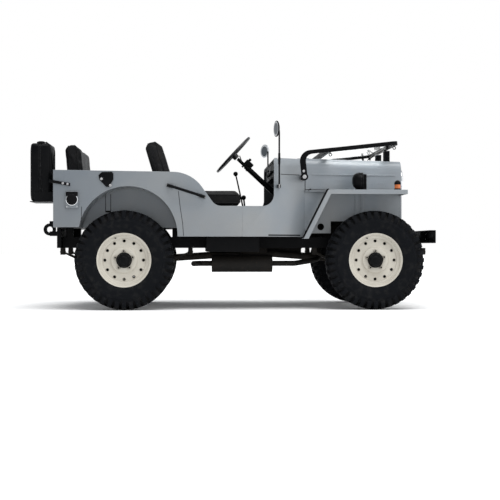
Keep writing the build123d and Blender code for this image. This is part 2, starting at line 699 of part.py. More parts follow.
# Grille: an upright panel with a row of slots and a round seat for each headlamp
with BuildPart() as grille:
    with BuildSketch(Plane.YZ.offset(grille_x)) as face:
        Polygon((-grille_foot_half, grille_low_z), (-grille_foot_half, apron_low_z),
                (-fender_inner_y, apron_low_z), (-fender_inner_y, fender_top_z - fender_lip),
                (-grille_half, fender_top_z - fender_lip), (-grille_half, grille_top_z),
                (grille_half, grille_top_z), (grille_half, fender_top_z - fender_lip),
                (fender_inner_y, fender_top_z - fender_lip), (fender_inner_y, apron_low_z),
                (grille_foot_half, apron_low_z), (grille_foot_half, grille_low_z), align=None)
        for sign in side_signs.values():
            fillet(face.vertices().sort_by_distance(Vector(sign * grille_half, grille_top_z))[0], grille_round)
        with Locations((0, (slot_low_z + slot_high_z) / 2)):
            with GridLocations(slot_pitch, 0, slot_count, 1):
                Rectangle(slot_width, slot_high_z - slot_low_z, mode=Mode.SUBTRACT)
        for sign in side_signs.values():
            with Locations((sign * headlamp_y, headlamp_z)):
                Circle(headlamp_radius + seat_gap, mode=Mode.SUBTRACT)
    extrude(face.sketch, amount=grille_sheet)
save(grille, "grille")

# Radiator behind the slots, standing on the front cross member
radiator_gap = 10
radiator_half = headlamp_y - headlamp_radius - radiator_gap
radiator_top_z = 1150
radiator_x = (grille_x - radiator_depth, grille_x)
with BuildPart() as radiator:
    block(radiator_x, (-radiator_half, radiator_half), (rail_high_z, radiator_top_z))
save(radiator, "radiator")

# Bonnet: a tapered lid with rounded shoulders, open below and at both ends, with rests for the windscreen
slope = radians(screen_slope)
screen_ahead = Vector(cos(slope), 0, sin(slope))
screen_up = Vector(-sin(slope), 0, cos(slope))
screen_pivot = Vector(screen_pivot_x, 0, screen_pivot_z)
rest_run = screen_end - screen_rail / 2
rest_point = screen_pivot + screen_ahead * rest_run + screen_up * (screen_height - screen_depth / 2)
rest_y = 220
rest_half = 24
rest_air = 6
rest_x = (rest_point.X - rest_half, rest_point.X + rest_half)
bonnet_fall = (bonnet_rear_z - bonnet_front_z) / (bonnet_front_x - bonnet_rear_x)
bonnet_taper = (bonnet_rear_half - bonnet_front_half) / (bonnet_front_x - bonnet_rear_x)
bead_x = (rear_axle_x + 1528, rear_axle_x + 2236)
bead_z = (1098, 1109)
bead_proud = 5


def bonnet_section(x, half, top_z, round_radius, low_z):
    with BuildSketch(Plane.YZ.offset(x)) as section:
        Polygon((-half, low_z), (-half, top_z), (half, top_z), (half, low_z), align=None)
        for sign in (-1, 1):
            fillet(section.vertices().sort_by_distance(Vector(sign * half, top_z))[0], round_radius)
    return section.sketch


with BuildPart() as bonnet:
    for inset, mode in ((0, Mode.ADD), (bonnet_sheet, Mode.SUBTRACT)):
        sections = [
            bonnet_section(x, half - inset, top_z - inset, bonnet_round - inset, bonnet_low_z - inset)
            for x, half, top_z in ((bonnet_rear_x, bonnet_rear_half, bonnet_rear_z),
                                   (bonnet_front_x, bonnet_front_half, bonnet_front_z))
        ]
        loft(sections, ruled=True, mode=mode)
    for sign in side_signs.values():
        # a pressed bead runs along each side
        halves = [bonnet_rear_half - bonnet_taper * (x - bonnet_rear_x) for x in bead_x]
        with BuildSketch(Plane.XY.offset(bead_z[0])) as strip:
            Polygon((bead_x[0], sign * (halves[0] - bead_proud)), (bead_x[1], sign * (halves[1] - bead_proud)),
                    (bead_x[1], sign * (halves[1] + bead_proud)), (bead_x[0], sign * (halves[0] + bead_proud)),
                    align=None)
        extrude(strip.sketch, amount=bead_z[1] - bead_z[0])
        # the bonnet's own hinge barrels sit on both sides of the cowl's
        for near in (hinge_y - 2 * hinge_half - seat_gap, hinge_y + hinge_half + seat_gap):
            barrel = outboard(sign, near, near + hinge_half)
            pin((hinge_x, barrel[0], hinge_z), (hinge_x, barrel[1], hinge_z), hinge_radius)
            block((hinge_x, hinge_x + hinge_strap), barrel, (bonnet_rear_z - bonnet_sheet / 2, hinge_z))
        foot = outboard(sign, rest_y - rest_half, rest_y + rest_half)
        with BuildSketch(side_plane(foot[1])) as profile:
            Polygon((rest_x[0], bonnet_rear_z - bonnet_fall * (rest_x[0] - bonnet_rear_x)),
                    (rest_x[0], rest_point.Z - rest_air - 2 * rest_half * tan(slope)),
                    (rest_x[1], rest_point.Z - rest_air - rest_half * tan(slope)),
                    (rest_x[1], bonnet_rear_z - bonnet_fall * (rest_x[1] - bonnet_rear_x)), align=None)
        sheet(profile, foot)
save(bonnet, "bonnet")

# Windscreen: a rounded frame on two bent arms, and its pane
screen_round = 60
pane_round = 24
pane_sheet = 6
arm_half_width = 24
arm_round = 90
arm_overlap = 64
boss_radius = 30
screen_low = Plane(origin=screen_pivot + screen_up * (screen_height - screen_depth / 2),
                   x_dir=screen_ahead, z_dir=screen_up)
pane_low = Plane(origin=screen_pivot + screen_up * (screen_height - pane_sheet / 2),
                 x_dir=screen_ahead, z_dir=screen_up)
pane_start = screen_start + screen_rail
pane_end = screen_end - screen_rail
pane_half = screen_half - screen_rail

with BuildPart() as screen_frame:
    with BuildSketch(screen_low) as ring:
        Polygon((screen_start, -screen_half), (screen_end, -screen_half), (screen_end, screen_half),
                (screen_start, screen_half), align=None)
        for sign in side_signs.values():
            fillet(ring.vertices().sort_by_distance(Vector(screen_end, sign * screen_half))[0], screen_round)
        with Locations(((pane_start + pane_end) / 2, 0)):
            RectangleRounded(pane_end - pane_start, 2 * pane_half, pane_round, mode=Mode.SUBTRACT)
    extrude(ring.sketch, amount=screen_depth)
    for sign in side_signs.values():
        arm = outboard(sign, screen_arm_y, screen_arm_y + screen_arm_sheet)
        arm_plane = Plane(origin=screen_pivot + Vector(0, arm[1], 0), x_dir=screen_ahead, z_dir=(0, -1, 0))
        arm_top = screen_height + screen_depth / 2
        arm_low = screen_height - screen_depth / 2
        arm_end = screen_start + arm_overlap
        with BuildSketch(arm_plane) as bent:
            Polygon((-arm_half_width, 0), (-arm_half_width, arm_top), (arm_end, arm_top), (arm_end, arm_low),
                    (arm_half_width, arm_low), (arm_half_width, 0), align=None)
            fillet(bent.vertices().sort_by_distance(Vector(-arm_half_width, arm_top))[0], arm_round)
            fillet(bent.vertices().sort_by_distance(Vector(arm_half_width, arm_low))[0], arm_round - screen_depth)
            Circle(boss_radius)
            Circle(screen_pin_radius + seat_gap, mode=Mode.SUBTRACT)
        sheet(bent, arm)
save(screen_frame, "windscreen_frame")

with BuildPart() as pane:
    with BuildSketch(pane_low) as face:
        with Locations(((pane_start + pane_end) / 2, 0)):
            RectangleRounded(pane_end - pane_start - 2 * seat_gap, 2 * (pane_half - seat_gap), pane_round)
    extrude(face.sketch, amount=pane_sheet)
save(pane, "windscreen_glass")

# Windscreen brackets reach out from the slanted cowl sides and carry the hinge pins
bracket_half = 22
bracket_back = 18
arm_air = 2
bracket_x = (screen_pivot_x - bracket_back, cowl_front_x)
bracket_end_y = screen_arm_y - arm_air


def cowl_half_at(x):
    return tub_half_width - (x - cowl_taper_x) * tan(taper_angle)


with BuildPart() as brackets:
    for sign in side_signs.values():
        with BuildSketch(Plane.XY.offset(screen_pivot_z - bracket_half)) as plan:
            Polygon((bracket_x[0], sign * cowl_half_at(bracket_x[0])),
                    (bracket_x[1], sign * cowl_half_at(bracket_x[1])),
                    (bracket_x[1], sign * bracket_end_y), (bracket_x[0], sign * bracket_end_y), align=None)
        extrude(plan.sketch, amount=2 * bracket_half)
        pin((screen_pivot_x, sign * bracket_end_y, screen_pivot_z),
            (screen_pivot_x, sign * (screen_arm_y + screen_arm_sheet + arm_air), screen_pivot_z), screen_pin_radius)
save(brackets, "windscreen_brackets")

# Lamps: headlamps in the grille, markers and one blackout lamp on the fenders, side lamps on the tub
headlamp_rim = 9
headlamp_bulge = 16
headlamp_depth = 60
grille_front_x = grille_x + grille_sheet
with BuildPart() as headlamps:
    for sign in side_signs.values():
        lamp_y = sign * headlamp_y
        bar((grille_x - headlamp_depth, lamp_y, headlamp_z), (grille_front_x, lamp_y, headlamp_z),
            headlamp_radius, small_sides)
        bar((grille_front_x, lamp_y, headlamp_z), (grille_front_x + headlamp_bulge, lamp_y, headlamp_z),
            headlamp_radius + headlamp_rim, small_sides)
save(headlamps, "headlamps")

marker_x = rear_axle_x + 2222
marker_inset = 100
marker_y = fender_outer_y - marker_inset
marker_radius = 28
marker_height = 82
blackout_x = (rear_axle_x + 1850, rear_axle_x + 1935)
blackout_y = -marker_y
blackout_z = 1046
blackout_radius = 70
blackout_back_radius = 44
blackout_bend_x = rear_axle_x + 1890
post_radius = 18
with BuildPart() as fender_lamps:
    for sign in side_signs.values():
        bar((marker_x, sign * marker_y, fender_top_z), (marker_x, sign * marker_y, fender_top_z + marker_height),
            marker_radius)
    bar((blackout_bend_x, blackout_y, blackout_z), (blackout_x[1], blackout_y, blackout_z), blackout_radius,
        small_sides)
    shell = []
    for shell_x, shell_radius in ((blackout_x[0], blackout_back_radius), (blackout_bend_x, blackout_radius)):
        with BuildSketch(Plane.YZ.offset(shell_x)) as ring:
            with Locations((blackout_y, blackout_z)):
                RegularPolygon(shell_radius, small_sides)
        shell.append(ring.sketch)
    loft(shell, ruled=True)
    bar((blackout_bend_x, blackout_y, fender_top_z), (blackout_bend_x, blackout_y, blackout_z), post_radius, 8)
save(fender_lamps, "fender_lamps")

side_lamp_x = rear_axle_x - 410
side_lamp_z = 885
side_lamp_size = (105, 137)
side_lamp_base = 14
side_lamp_radius = 46
with BuildPart() as side_lamps:
    for sign in side_signs.values():
        block((side_lamp_x - side_lamp_size[0] / 2, side_lamp_x + side_lamp_size[0] / 2),
              outboard(sign, tub_half_width, tub_half_width + side_lamp_base),
              (side_lamp_z - side_lamp_size[1] / 2, side_lamp_z + side_lamp_size[1] / 2))
        bar((side_lamp_x, sign * (tub_half_width + side_lamp_base), side_lamp_z),
            (side_lamp_x, sign * (tub_half_width + 2 * side_lamp_base), side_lamp_z), side_lamp_radius)
save(side_lamps, "side_lamps")

# Bonnet latches stand on the fenders beside the bonnet
latch_x = (rear_axle_x + 1945, rear_axle_x + 1985)
latch_air = 14
latch_width = 22
latch_height = 138
latch_y = bonnet_rear_half - bonnet_taper * (latch_x[0] - bonnet_rear_x) + latch_air
with BuildPart() as latches:
    for sign in side_signs.values():
        block(latch_x, outboard(sign, latch_y, latch_y + latch_width), (fender_top_z, fender_top_z + latch_height))
save(latches, "bonnet_latches")

# Front seats: cushions and reclined backs
floor_top_z = front_floor_z + floor_sheet
seat_inner_y = 135
seat_inset = 120
seat_y = (seat_inner_y, tub_half_width - seat_inset)
cushion_x = (rear_axle_x + 470, rear_axle_x + 965)
cushion_z = (842, 957)
back_size = (124, 420)
back_place = (rear_axle_x + 270, 1175)
back_lean = 16.5
seat_tube = 13
pan_sheet = 6
leg_inset = 40
post_cut = 60
post_top_cut = 260
post_wall_air = 30
brace_lap = 2
back_round = 45
cushion_round = 35
lean = radians(back_lean)
behind = back_size[0] / 2 + seat_tube + seat_gap
back_along = Vector(-sin(lean), 0, cos(lean))
post_middle = Vector(back_place[0] - behind * cos(lean), 0, back_place[1] - behind * sin(lean))
post_low = post_middle - back_along * (back_size[1] / 2 + post_cut)
post_high = post_middle + back_along * (back_size[1] / 2 - post_top_cut)
seat_spans = [outboard(sign, *seat_y) for sign in side_signs.values()]
with BuildPart() as cushions:
    for across in seat_spans:
        block(cushion_x, across, cushion_z)
    fillet(cushions.edges().filter_by(Axis.Y), cushion_round)
save(cushions, "front_seat_cushions")
with BuildPart() as backs:
    for across in seat_spans:
        with Locations(Location((back_place[0], (across[0] + across[1]) / 2, back_place[1]), (0, -back_lean, 0))):
            Box(back_size[0], across[1] - across[0], back_size[1])
    fillet(backs.edges().filter_by(Axis.Y), back_round)
save(backs, "front_seat_backs")

# Rear bench between the wheelhouses
bench_air = 18
bench_half = wheelhouse_inner_y - bench_air
bench_x = (rear_axle_x - 330, rear_axle_x + 70)
bench_z = (862, 965)
bench_back_size = (118, 385)
bench_back_place = (rear_axle_x - 432, 1180)
bench_lean = 5
with BuildPart() as bench_cushion:
    block(bench_x, (-bench_half, bench_half), bench_z)
    fillet(bench_cushion.edges().filter_by(Axis.Y), cushion_round)
save(bench_cushion, "rear_seat_cushion")
with BuildPart() as bench_back:
    with Locations(Location((bench_back_place[0], 0, bench_back_place[1]), (0, -bench_lean, 0))):
        Box(bench_back_size[0], 2 * bench_half, bench_back_size[1])
    fillet(bench_back.edges().filter_by(Axis.Y), back_round)
save(bench_back, "rear_seat_back")
bench_tilt = radians(bench_lean)
bench_behind = bench_back_size[0] / 2 + seat_tube + seat_gap
bench_along = Vector(-sin(bench_tilt), 0, cos(bench_tilt))
bench_middle = Vector(bench_back_place[0] - bench_behind * cos(bench_tilt), 0,
                      bench_back_place[1] - bench_behind * sin(bench_tilt))
bench_low = bench_middle - bench_along * (bench_back_size[1] / 2 + post_cut)
bench_high = bench_middle + bench_along * (bench_back_size[1] / 2 - post_top_cut)

# Tube frames under all seats: pan, legs, and posts behind each back
frame_table = [
    # pan X pair, pan Y pair, post Y pair, pan top Z, floor Z, post foot, post top
    *((cushion_x, outboard(sign, *seat_y), outboard(sign, seat_inner_y + leg_inset, wheelhouse_inner_y - post_wall_air),
       cushion_z[0], floor_top_z, post_low, post_high) for sign in side_signs.values()),
    (bench_x, (-bench_half, bench_half), (leg_inset - bench_half, bench_half - leg_inset),
     bench_z[0], rear_floor_top_z, bench_low, bench_high),
]
with BuildPart() as seat_frames:
    for pan_x, across, post_lines, pan_top, stand_z, low, high in frame_table:
        block(pan_x, across, (pan_top - pan_sheet, pan_top))
        for line_y in (across[0] + leg_inset, across[1] - leg_inset):
            for leg_x in (pan_x[0] + leg_inset, pan_x[1] - leg_inset):
                bar((leg_x, line_y, stand_z), (leg_x, line_y, pan_top - pan_sheet), seat_tube, 12)
        for line_y in post_lines:
            brace_z = pan_top - pan_sheet - seat_tube + brace_lap
            bar((low.X, line_y, low.Z), (high.X, line_y, high.Z), seat_tube, 12)
            bar((low.X, line_y, low.Z), (pan_x[0] + leg_inset / 2, line_y, brace_z), seat_tube, 12)
        bar((high.X, post_lines[0], high.Z), (high.X, post_lines[1], high.Z), seat_tube, 12)
save(seat_frames, "seat_frames")

# Steering column and wheel on the left
steer_shift = 20
steer_y = sum(seat_y) / 2 - steer_shift
steer_hub = Vector(rear_axle_x + 912, steer_y, 1333)
steer_drop = 43
steer_axis = Vector(cos(radians(steer_drop)), 0, -sin(radians(steer_drop)))
column_radius = 24
steer_hub_length = 46
steer_hub_rise = 14
steer_hub_radius = 34
column_trim = 100
steer_rim_radius = 215
steer_rim_width = 24
spoke_half = 9
with BuildPart() as column:
    column_top = steer_hub + steer_axis * (steer_hub_length + fork_gap)
    column_foot = steer_hub + steer_axis * ((cowl_front_x - steer_hub.X) / steer_axis.X)
    bar(tuple(column_top), tuple(column_foot), column_radius, 12)
    block((firewall_x[0], cowl_front_x + column_trim), (steer_y - column_trim, steer_y + column_trim),
          (front_floor_z, cowl_top_z), Mode.SUBTRACT)
save(column, "steering_column")

with BuildPart() as steering_wheel:
    pin(tuple(steer_hub - steer_axis * steer_hub_rise), tuple(steer_hub + steer_axis * steer_hub_length),
        steer_hub_radius)
    rim_plane = Plane(origin=steer_hub - steer_axis * (steer_rim_width / 2), x_dir=(0, 1, 0), z_dir=steer_axis)
    with BuildSketch(rim_plane) as rim:
        RegularPolygon(steer_rim_radius, round_sides)
        RegularPolygon(steer_rim_radius - steer_rim_width, round_sides, mode=Mode.SUBTRACT)
    extrude(rim.sketch, amount=steer_rim_width)
    with BuildSketch(rim_plane) as spokes:
        for turn in (90, 210, 330):
            with Locations(Location((0, 0), turn)):
                Rectangle(steer_rim_radius - steer_rim_width / 2, 2 * spoke_half, align=(Align.MIN, Align.CENTER))
    extrude(spokes.sketch, amount=steer_rim_width)
save(steering_wheel, "steering_wheel")

# Gear levers on the floor tunnel line, pedals hung from the firewall
lever_table = (
    # foot X, foot Y, knob X, knob Y, knob Z
    (1010, 0, 920, 0, 1140),
    (1000, -70, 985, -85, 930),
    (1000, -110, 985, -125, 930),
)
knob_radius = 21
lever_radius = 8
lever_sink = 20
tunnel_x = (rear_axle_x + 960, rear_axle_x + 1060)
tunnel_y = (-130, 40)
tunnel_height = 30
pedal_places = (steer_y - 130, steer_y - 40, steer_y + 90)
pedal_x = rear_axle_x + 1340
pedal_z = (700, 780)
pedal_sheet = 10
pedal_half = 32
pedal_arm_half = 8
pedal_arm_z = (pedal_z[0] + 32, pedal_z[0] + 48)
with BuildPart() as controls:
    block(tunnel_x, tunnel_y, (floor_top_z, floor_top_z + tunnel_height))
    for foot_x, foot_y, knob_x, knob_y, knob_z in lever_table:
        knob = (rear_axle_x + knob_x, knob_y, knob_z)
        bar((rear_axle_x + foot_x, foot_y, floor_top_z + lever_sink), knob, lever_radius, 8)
        with Locations(knob):
            Cylinder(knob_radius, 2 * knob_radius)
    for pedal_y in pedal_places:
        block((pedal_x, pedal_x + pedal_sheet), (pedal_y - pedal_half, pedal_y + pedal_half), pedal_z)
        block((pedal_x, firewall_x[0]), (pedal_y - pedal_arm_half, pedal_y + pedal_arm_half), pedal_arm_z)
save(controls, "driver_controls")

# Mirrors on stalks that stand clear of the windscreen arms
mirror_x = rear_axle_x + 1246
mirror_foot_z = (985, 1011)
mirror_inset = 3
mirror_reach = 56
mirror_stalk_y = tub_half_width - mirror_inset
mirror_head_y = mirror_stalk_y + mirror_reach
mirror_head_radius = 65
mirror_head_x = (mirror_x - 32, mirror_x - 8)
mirror_foot_half = 14
mirror_foot_lap = 8
stalk_radius = 8
neck_radius = 6
neck_end_x = mirror_x - 20
mirror_heights = {"right": 1453, "left": 1400}
with BuildPart() as mirrors:
    foot_x = (mirror_x - mirror_foot_half, mirror_x + mirror_foot_half)
    for side, sign in side_signs.items():
        with BuildSketch(Plane.XY.offset(mirror_foot_z[0])) as plan:
            Polygon((foot_x[0], sign * cowl_half_at(foot_x[0])), (foot_x[1], sign * cowl_half_at(foot_x[1])),
                    (foot_x[1], sign * (mirror_stalk_y + mirror_foot_lap)),
                    (foot_x[0], sign * (mirror_stalk_y + mirror_foot_lap)), align=None)
        extrude(plan.sketch, amount=mirror_foot_z[1] - mirror_foot_z[0])
        head_z = mirror_heights[side]
        neck_z = head_z - neck_radius
        bar((mirror_x, sign * mirror_stalk_y, mirror_foot_z[0]), (mirror_x, sign * mirror_stalk_y, head_z),
            stalk_radius, 8)
        bar((mirror_x, sign * mirror_stalk_y, neck_z), (neck_end_x, sign * mirror_head_y, neck_z), neck_radius, 8)
        bar((mirror_head_x[0], sign * mirror_head_y, head_z), (mirror_head_x[1], sign * mirror_head_y, head_z),
            mirror_head_radius, small_sides)
save(mirrors, "mirrors")

# Fuel can in its rack on the rear panel
can_size = (165, 345)
can_z = (877, 1345)
can_inset = 258
can_y = can_inset - tub_half_width
can_round = 36
can_edge_round = 22
grip_pitch = 70
grip_inset = 40
grip_half = 10
grip_height = 20
can_x = (rear_axle_x - rear_overhang, rear_axle_x - rear_overhang + can_size[0])
with BuildPart() as fuel_can:
    block(can_x, (can_y - can_size[1] / 2, can_y + can_size[1] / 2), can_z)
    fillet(fuel_can.edges().filter_by(Axis.Z), can_round)
    fillet(fuel_can.faces().sort_by(Axis.Z)[-1].edges(), can_edge_round)
    fillet(fuel_can.faces().sort_by(Axis.Z)[0].edges(), can_edge_round)
    for grip_y in (can_y - grip_pitch, can_y, can_y + grip_pitch):
        block((can_x[0] + grip_inset, can_x[1] - grip_inset), (grip_y - grip_half, grip_y + grip_half),
              (can_z[1], can_z[1] + grip_height))
save(fuel_can, "fuel_can")

rack_sheet = 6
rack_wall = 70
rack_back_half = 100
rack_back_height = 220
rack_stay_y = 80
rack_stay_half = 20
rack_stay_z = (can_z[0] + 100, can_z[0] + 140)
stay_ends = ((rear_axle_x - 590, 1035), (rear_axle_x - 425, 1006))
stay_half = 11
stay_sheet = 8
with BuildPart() as rack:
    block((can_x[0], tub_rear_x), (can_y - can_size[1] / 2 - rack_sheet, can_y + can_size[1] / 2 + rack_sheet),
          (can_z[0] - rack_sheet, can_z[0]))
    block((can_x[1] + seat_gap, can_x[1] + seat_gap + rack_sheet), (can_y - rack_back_half, can_y + rack_back_half),
          (can_z[0] - rack_sheet, can_z[0] + rack_back_height))
    for rack_y in (can_y - rack_stay_y, can_y + rack_stay_y):
        block((can_x[1], tub_rear_x), (rack_y - rack_stay_half, rack_y + rack_stay_half), rack_stay_z)
    # a flat stay runs from the rack's back along the body side
    stay_y = (-tub_half_width - stay_sheet, -tub_half_width)
    with BuildSketch(side_plane(stay_y[1])) as stay:
        Polygon((stay_ends[0][0], stay_ends[0][1] - stay_half), (stay_ends[1][0], stay_ends[1][1] - stay_half),
                (stay_ends[1][0], stay_ends[1][1] + stay_half), (stay_ends[0][0], stay_ends[0][1] + stay_half),
                align=None)
    sheet(stay, stay_y)
    block((can_x[1] + seat_gap, can_x[1] + seat_gap + rack_sheet), (stay_y[0], can_y),
          (stay_ends[0][1] - stay_half, stay_ends[0][1] + stay_half))
    for rack_y in ((can_y - can_size[1] / 2 - rack_sheet, can_y - can_size[1] / 2),
                   (can_y + can_size[1] / 2, can_y + can_size[1] / 2 + rack_sheet)):
        block((can_x[0] + can_round, tub_rear_x), rack_y, (can_z[0] - rack_sheet, can_z[0] + rack_wall))
save(rack, "can_rack")

# Grab handles beside the door cuts and the pads above the arches
handle_ends = ((rear_axle_x + 352, 1002), (rear_axle_x + 642, 910))
handle_radius = 12
handle_stand = 45
pad_x = (rear_axle_x - 203, rear_axle_x - 80)
pad_z = (986, 1110)
pad_sheet = 12
with BuildPart() as side_fittings:
    for sign in side_signs.values():
        handle_y = sign * (tub_half_width + handle_stand)
        bar((handle_ends[0][0], handle_y, handle_ends[0][1]), (handle_ends[1][0], handle_y, handle_ends[1][1]),
            handle_radius, 12)
        for end_x, end_z in handle_ends:
            bar((end_x, sign * tub_half_width, end_z), (end_x, handle_y + sign * handle_radius, end_z), 18, 12)
        skin = outboard(sign, tub_half_width, tub_half_width + pad_sheet)
        with BuildSketch(side_plane(skin[1])) as shield:
            Polygon((pad_x[0], pad_z[1]), (pad_x[1], pad_z[1]), (pad_x[1], pad_z[0] + 40),
                    ((pad_x[0] + pad_x[1]) / 2, pad_z[0]), (pad_x[0], pad_z[0] + 40), align=None)
        sheet(shield, skin)
save(side_fittings, "side_fittings")
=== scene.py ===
from math import cos, pi, radians, sin

import bmesh
import bpy
from mathutils import Matrix, Vector
from mathutils.bvhtree import BVHTree


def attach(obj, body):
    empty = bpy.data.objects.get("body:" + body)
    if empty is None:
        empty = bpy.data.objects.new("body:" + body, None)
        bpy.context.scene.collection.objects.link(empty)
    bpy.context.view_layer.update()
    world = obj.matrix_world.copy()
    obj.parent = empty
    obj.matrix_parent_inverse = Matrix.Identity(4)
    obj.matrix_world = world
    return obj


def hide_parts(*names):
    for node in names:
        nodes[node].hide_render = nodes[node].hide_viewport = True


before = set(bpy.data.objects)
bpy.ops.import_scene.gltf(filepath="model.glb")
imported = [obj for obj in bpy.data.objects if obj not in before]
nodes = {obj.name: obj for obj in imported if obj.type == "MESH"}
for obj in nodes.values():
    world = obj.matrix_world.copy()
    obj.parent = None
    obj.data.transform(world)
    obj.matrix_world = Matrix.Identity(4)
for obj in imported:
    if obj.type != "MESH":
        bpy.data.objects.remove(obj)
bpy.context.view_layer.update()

scene = bpy.context.scene
sides = {"right": -1, "left": 1}
aheadX, acrossY, upZ = (1, 0, 0), (0, 1, 0), (0, 0, 1)
skinY = 725  # half width of the tub, mm
print("frame loaded:", len(nodes), "nodes")


# shared tools: meshes are drawn in metres, in the frame's own axes

def rearX(mm):
    # X of a point given in mm ahead of the rear axle
    return -0.8835 + mm / 1000


def place(x, y, z):
    # a point given in mm, its X ahead of the rear axle
    return Vector((rearX(x), y / 1000, z / 1000))


def fromMm(*pairs):
    # a profile given in mm
    return [(a / 1000, b / 1000) for a, b in pairs]


def cowlHalf(x):
    # half width of the cowl side at X, mm
    return skinY - max(0, x - 1150) * 170 / 317


def bonnetHalf(x):
    # half width of the bonnet side at X, mm
    return 555 - (x - 1473) * 145 / 816


def addObject(bm, name):
    mesh = bpy.data.meshes.new(name)
    bm.to_mesh(mesh)
    bm.free()
    piece = bpy.data.objects.new(name, mesh)
    scene.collection.objects.link(piece)
    return piece


def makePiece(bm, name, finishes, stands=(), body="chassis", sharp=35):
    bmesh.ops.recalc_face_normals(bm, faces=bm.faces)
    piece = addObject(bm, name)
    for finish in finishes:
        piece.data.materials.append(finish)
    piece.data.shade_smooth()
    piece.data.set_sharp_from_angle(angle=radians(sharp))
    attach(piece, body)
    if stands:
        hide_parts(*stands)
    return piece


def modify(piece, name, kind, **settings):
    modifier = piece.modifiers.new(name, kind)
    for key, value in settings.items():
        setattr(modifier, key, value)
    return modifier


def mergeIn(bm, part, finish=0, move=None):
    # adds a small finished bmesh to a bigger one
    for face in part.faces:
        face.material_index = finish
    holder = bpy.data.meshes.new("holder")
    part.to_mesh(holder)
    part.free()
    if move is not None:
        holder.transform(move)
    bm.from_mesh(holder)
    bpy.data.meshes.remove(holder)


def axisTurn(centre, axis):
    # a matrix that stands local Z along the axis, at the centre
    return Matrix.Translation(centre) @ Vector(axis).to_track_quat("Z", "Y").to_matrix().to_4x4()


def seatOn(centre, along, across, out):
    # a matrix that lays local X, Y and Z along three directions, at the centre
    return Matrix.Translation(centre) @ Matrix((along, across, out)).transposed().to_4x4()


def lace(part, rings, joined=False):
    # faces between rings of one count; ends that aren't joined are closed
    count = len(rings[0])
    for near, far in zip(rings, rings[1:] + rings[:1] if joined else rings[1:]):
        for a in range(count):
            b = (a + 1) % count
            part.faces.new((near[a], near[b], far[b], far[a]))
    if not joined:
        part.faces.new(list(reversed(rings[0])))
        part.faces.new(rings[-1])


def addTurned(bm, profile, centre, axis, steps, finish=0, closed=False):
    # a turned form: profile holds (distance along the axis, radius)
    part = bmesh.new()
    turns = [2 * pi * k / steps for k in range(steps)]
    rings = []
    for along, radius in profile:
        if radius < 1e-6:
            rings.append([part.verts.new((0, 0, along))])
        else:
            rings.append([part.verts.new((radius * cos(t), radius * sin(t), along)) for t in turns])
    for near, far in zip(rings, rings[1:] + rings[:1] if closed else rings[1:]):
        for k in range(steps):
            n = (k + 1) % steps
            if len(near) == 1:
                part.faces.new((near[0], far[n], far[k]))
            elif len(far) == 1:
                part.faces.new((near[k], near[n], far[0]))
            else:
                part.faces.new((near[k], near[n], far[n], far[k]))
    mergeIn(bm, part, finish, axisTurn(centre, axis))


def roundCorners(points, radius, steps=6):
    # a bent bar's line: each corner between its ends becomes an arc
    points = [Vector(p) for p in points]
    line = [points[0]]
    for before, corner, after in zip(points, points[1:], points[2:]):
        back, ahead = before - corner, after - corner
        turn = back.angle(ahead)
        cut = min(radius / max(sin(turn / 2) / cos(turn / 2), 1e-3), 0.48 * back.length, 0.48 * ahead.length)
        first = corner + back.normalized() * cut
        last = corner + ahead.normalized() * cut
        for s in range(steps + 1):
            t = s / steps
            line.append(first * (1 - t) ** 2 + corner * 2 * t * (1 - t) + last * t ** 2)
    return line + [points[-1]]


def addBar(bm, line, radius, around=12, finish=0, closed=False, flat=1.0, upHint=None):
    # a round bar along a line of points; flat below 1 presses it into an oval
    part = bmesh.new()
    count = len(line)
    line = [Vector(p) for p in line]
    ways = []
    for k in range(count):
        ahead = line[(k + 1) % count] if closed or k < count - 1 else line[k]
        back = line[k - 1] if closed or k > 0 else line[k]
        ways.append((ahead - back).normalized())
    hint = Vector(upHint) if upHint else ways[0].orthogonal()
    rings = []
    for k, way in enumerate(ways):
        side = way.cross(hint).normalized()
        hint = side.cross(way).normalized()
        reach = radius[k] if isinstance(radius, (list, tuple)) else radius
        rings.append([part.verts.new(line[k] + side * cos(2 * pi * a / around) * reach * flat
                                     + hint * sin(2 * pi * a / around) * reach) for a in range(around)])
    lace(part, rings, closed)
    mergeIn(bm, part, finish)


def roundEdges(part, edges, offset, segments):
    bmesh.ops.bevel(part, geom=edges, offset=offset, segments=segments, profile=0.5, affect="EDGES")


def addBlock(bm, low, high, roundness, segments, move=None, slant=0.0):
    # a block with rounded edges between two corners; slant lowers the rear of its top
    part = bmesh.new()
    bmesh.ops.create_cube(part, size=1)
    low, high = Vector(low), Vector(high)
    for vert in part.verts:
        share = vert.co + Vector((0.5, 0.5, 0.5))
        vert.co = Vector((low[k] + (high[k] - low[k]) * share[k] for k in range(3)))
        if share.z > 0.5 and share.x < 0.5:
            vert.co.z -= slant
    roundEdges(part, part.edges[:], roundness, segments)
    mergeIn(bm, part, 0, move)


def addPlate(bm, outline, thickness, move, roundness, segments, finish=0):
    # a flat plate: the outline is drawn in local X and Y and thickened along Z
    part = bmesh.new()
    verts = [part.verts.new((x, y, 0)) for x, y in outline]
    face = part.faces.new(verts)
    grown = bmesh.ops.extrude_face_region(part, geom=[face])
    for item in grown["geom"]:
        if isinstance(item, bmesh.types.BMVert):
            item.co.z += thickness
    bmesh.ops.recalc_face_normals(part, faces=part.faces)
    edges = [e for e in part.edges if e.calc_face_angle(0) > radians(50)]
    roundEdges(part, edges, roundness, segments)
    mergeIn(bm, part, finish, move)


def addBolt(bm, spot, axis, size, finish=0):
    # a hexagon head on its washer, size is the head's half width
    spot, axis = Vector(spot), Vector(axis).normalized()
    washer = [(0, size * 1.25), (size * 0.18, size * 1.25), (size * 0.24, size * 1.1), (size * 0.24, 0)]
    head = [(size * 0.2, size), (size * 0.85, size), (size * 1.0, size * 0.82), (size * 1.02, 0)]
    addTurned(bm, washer, spot, axis, 18, finish)
    addTurned(bm, head, spot, axis, 6, finish)


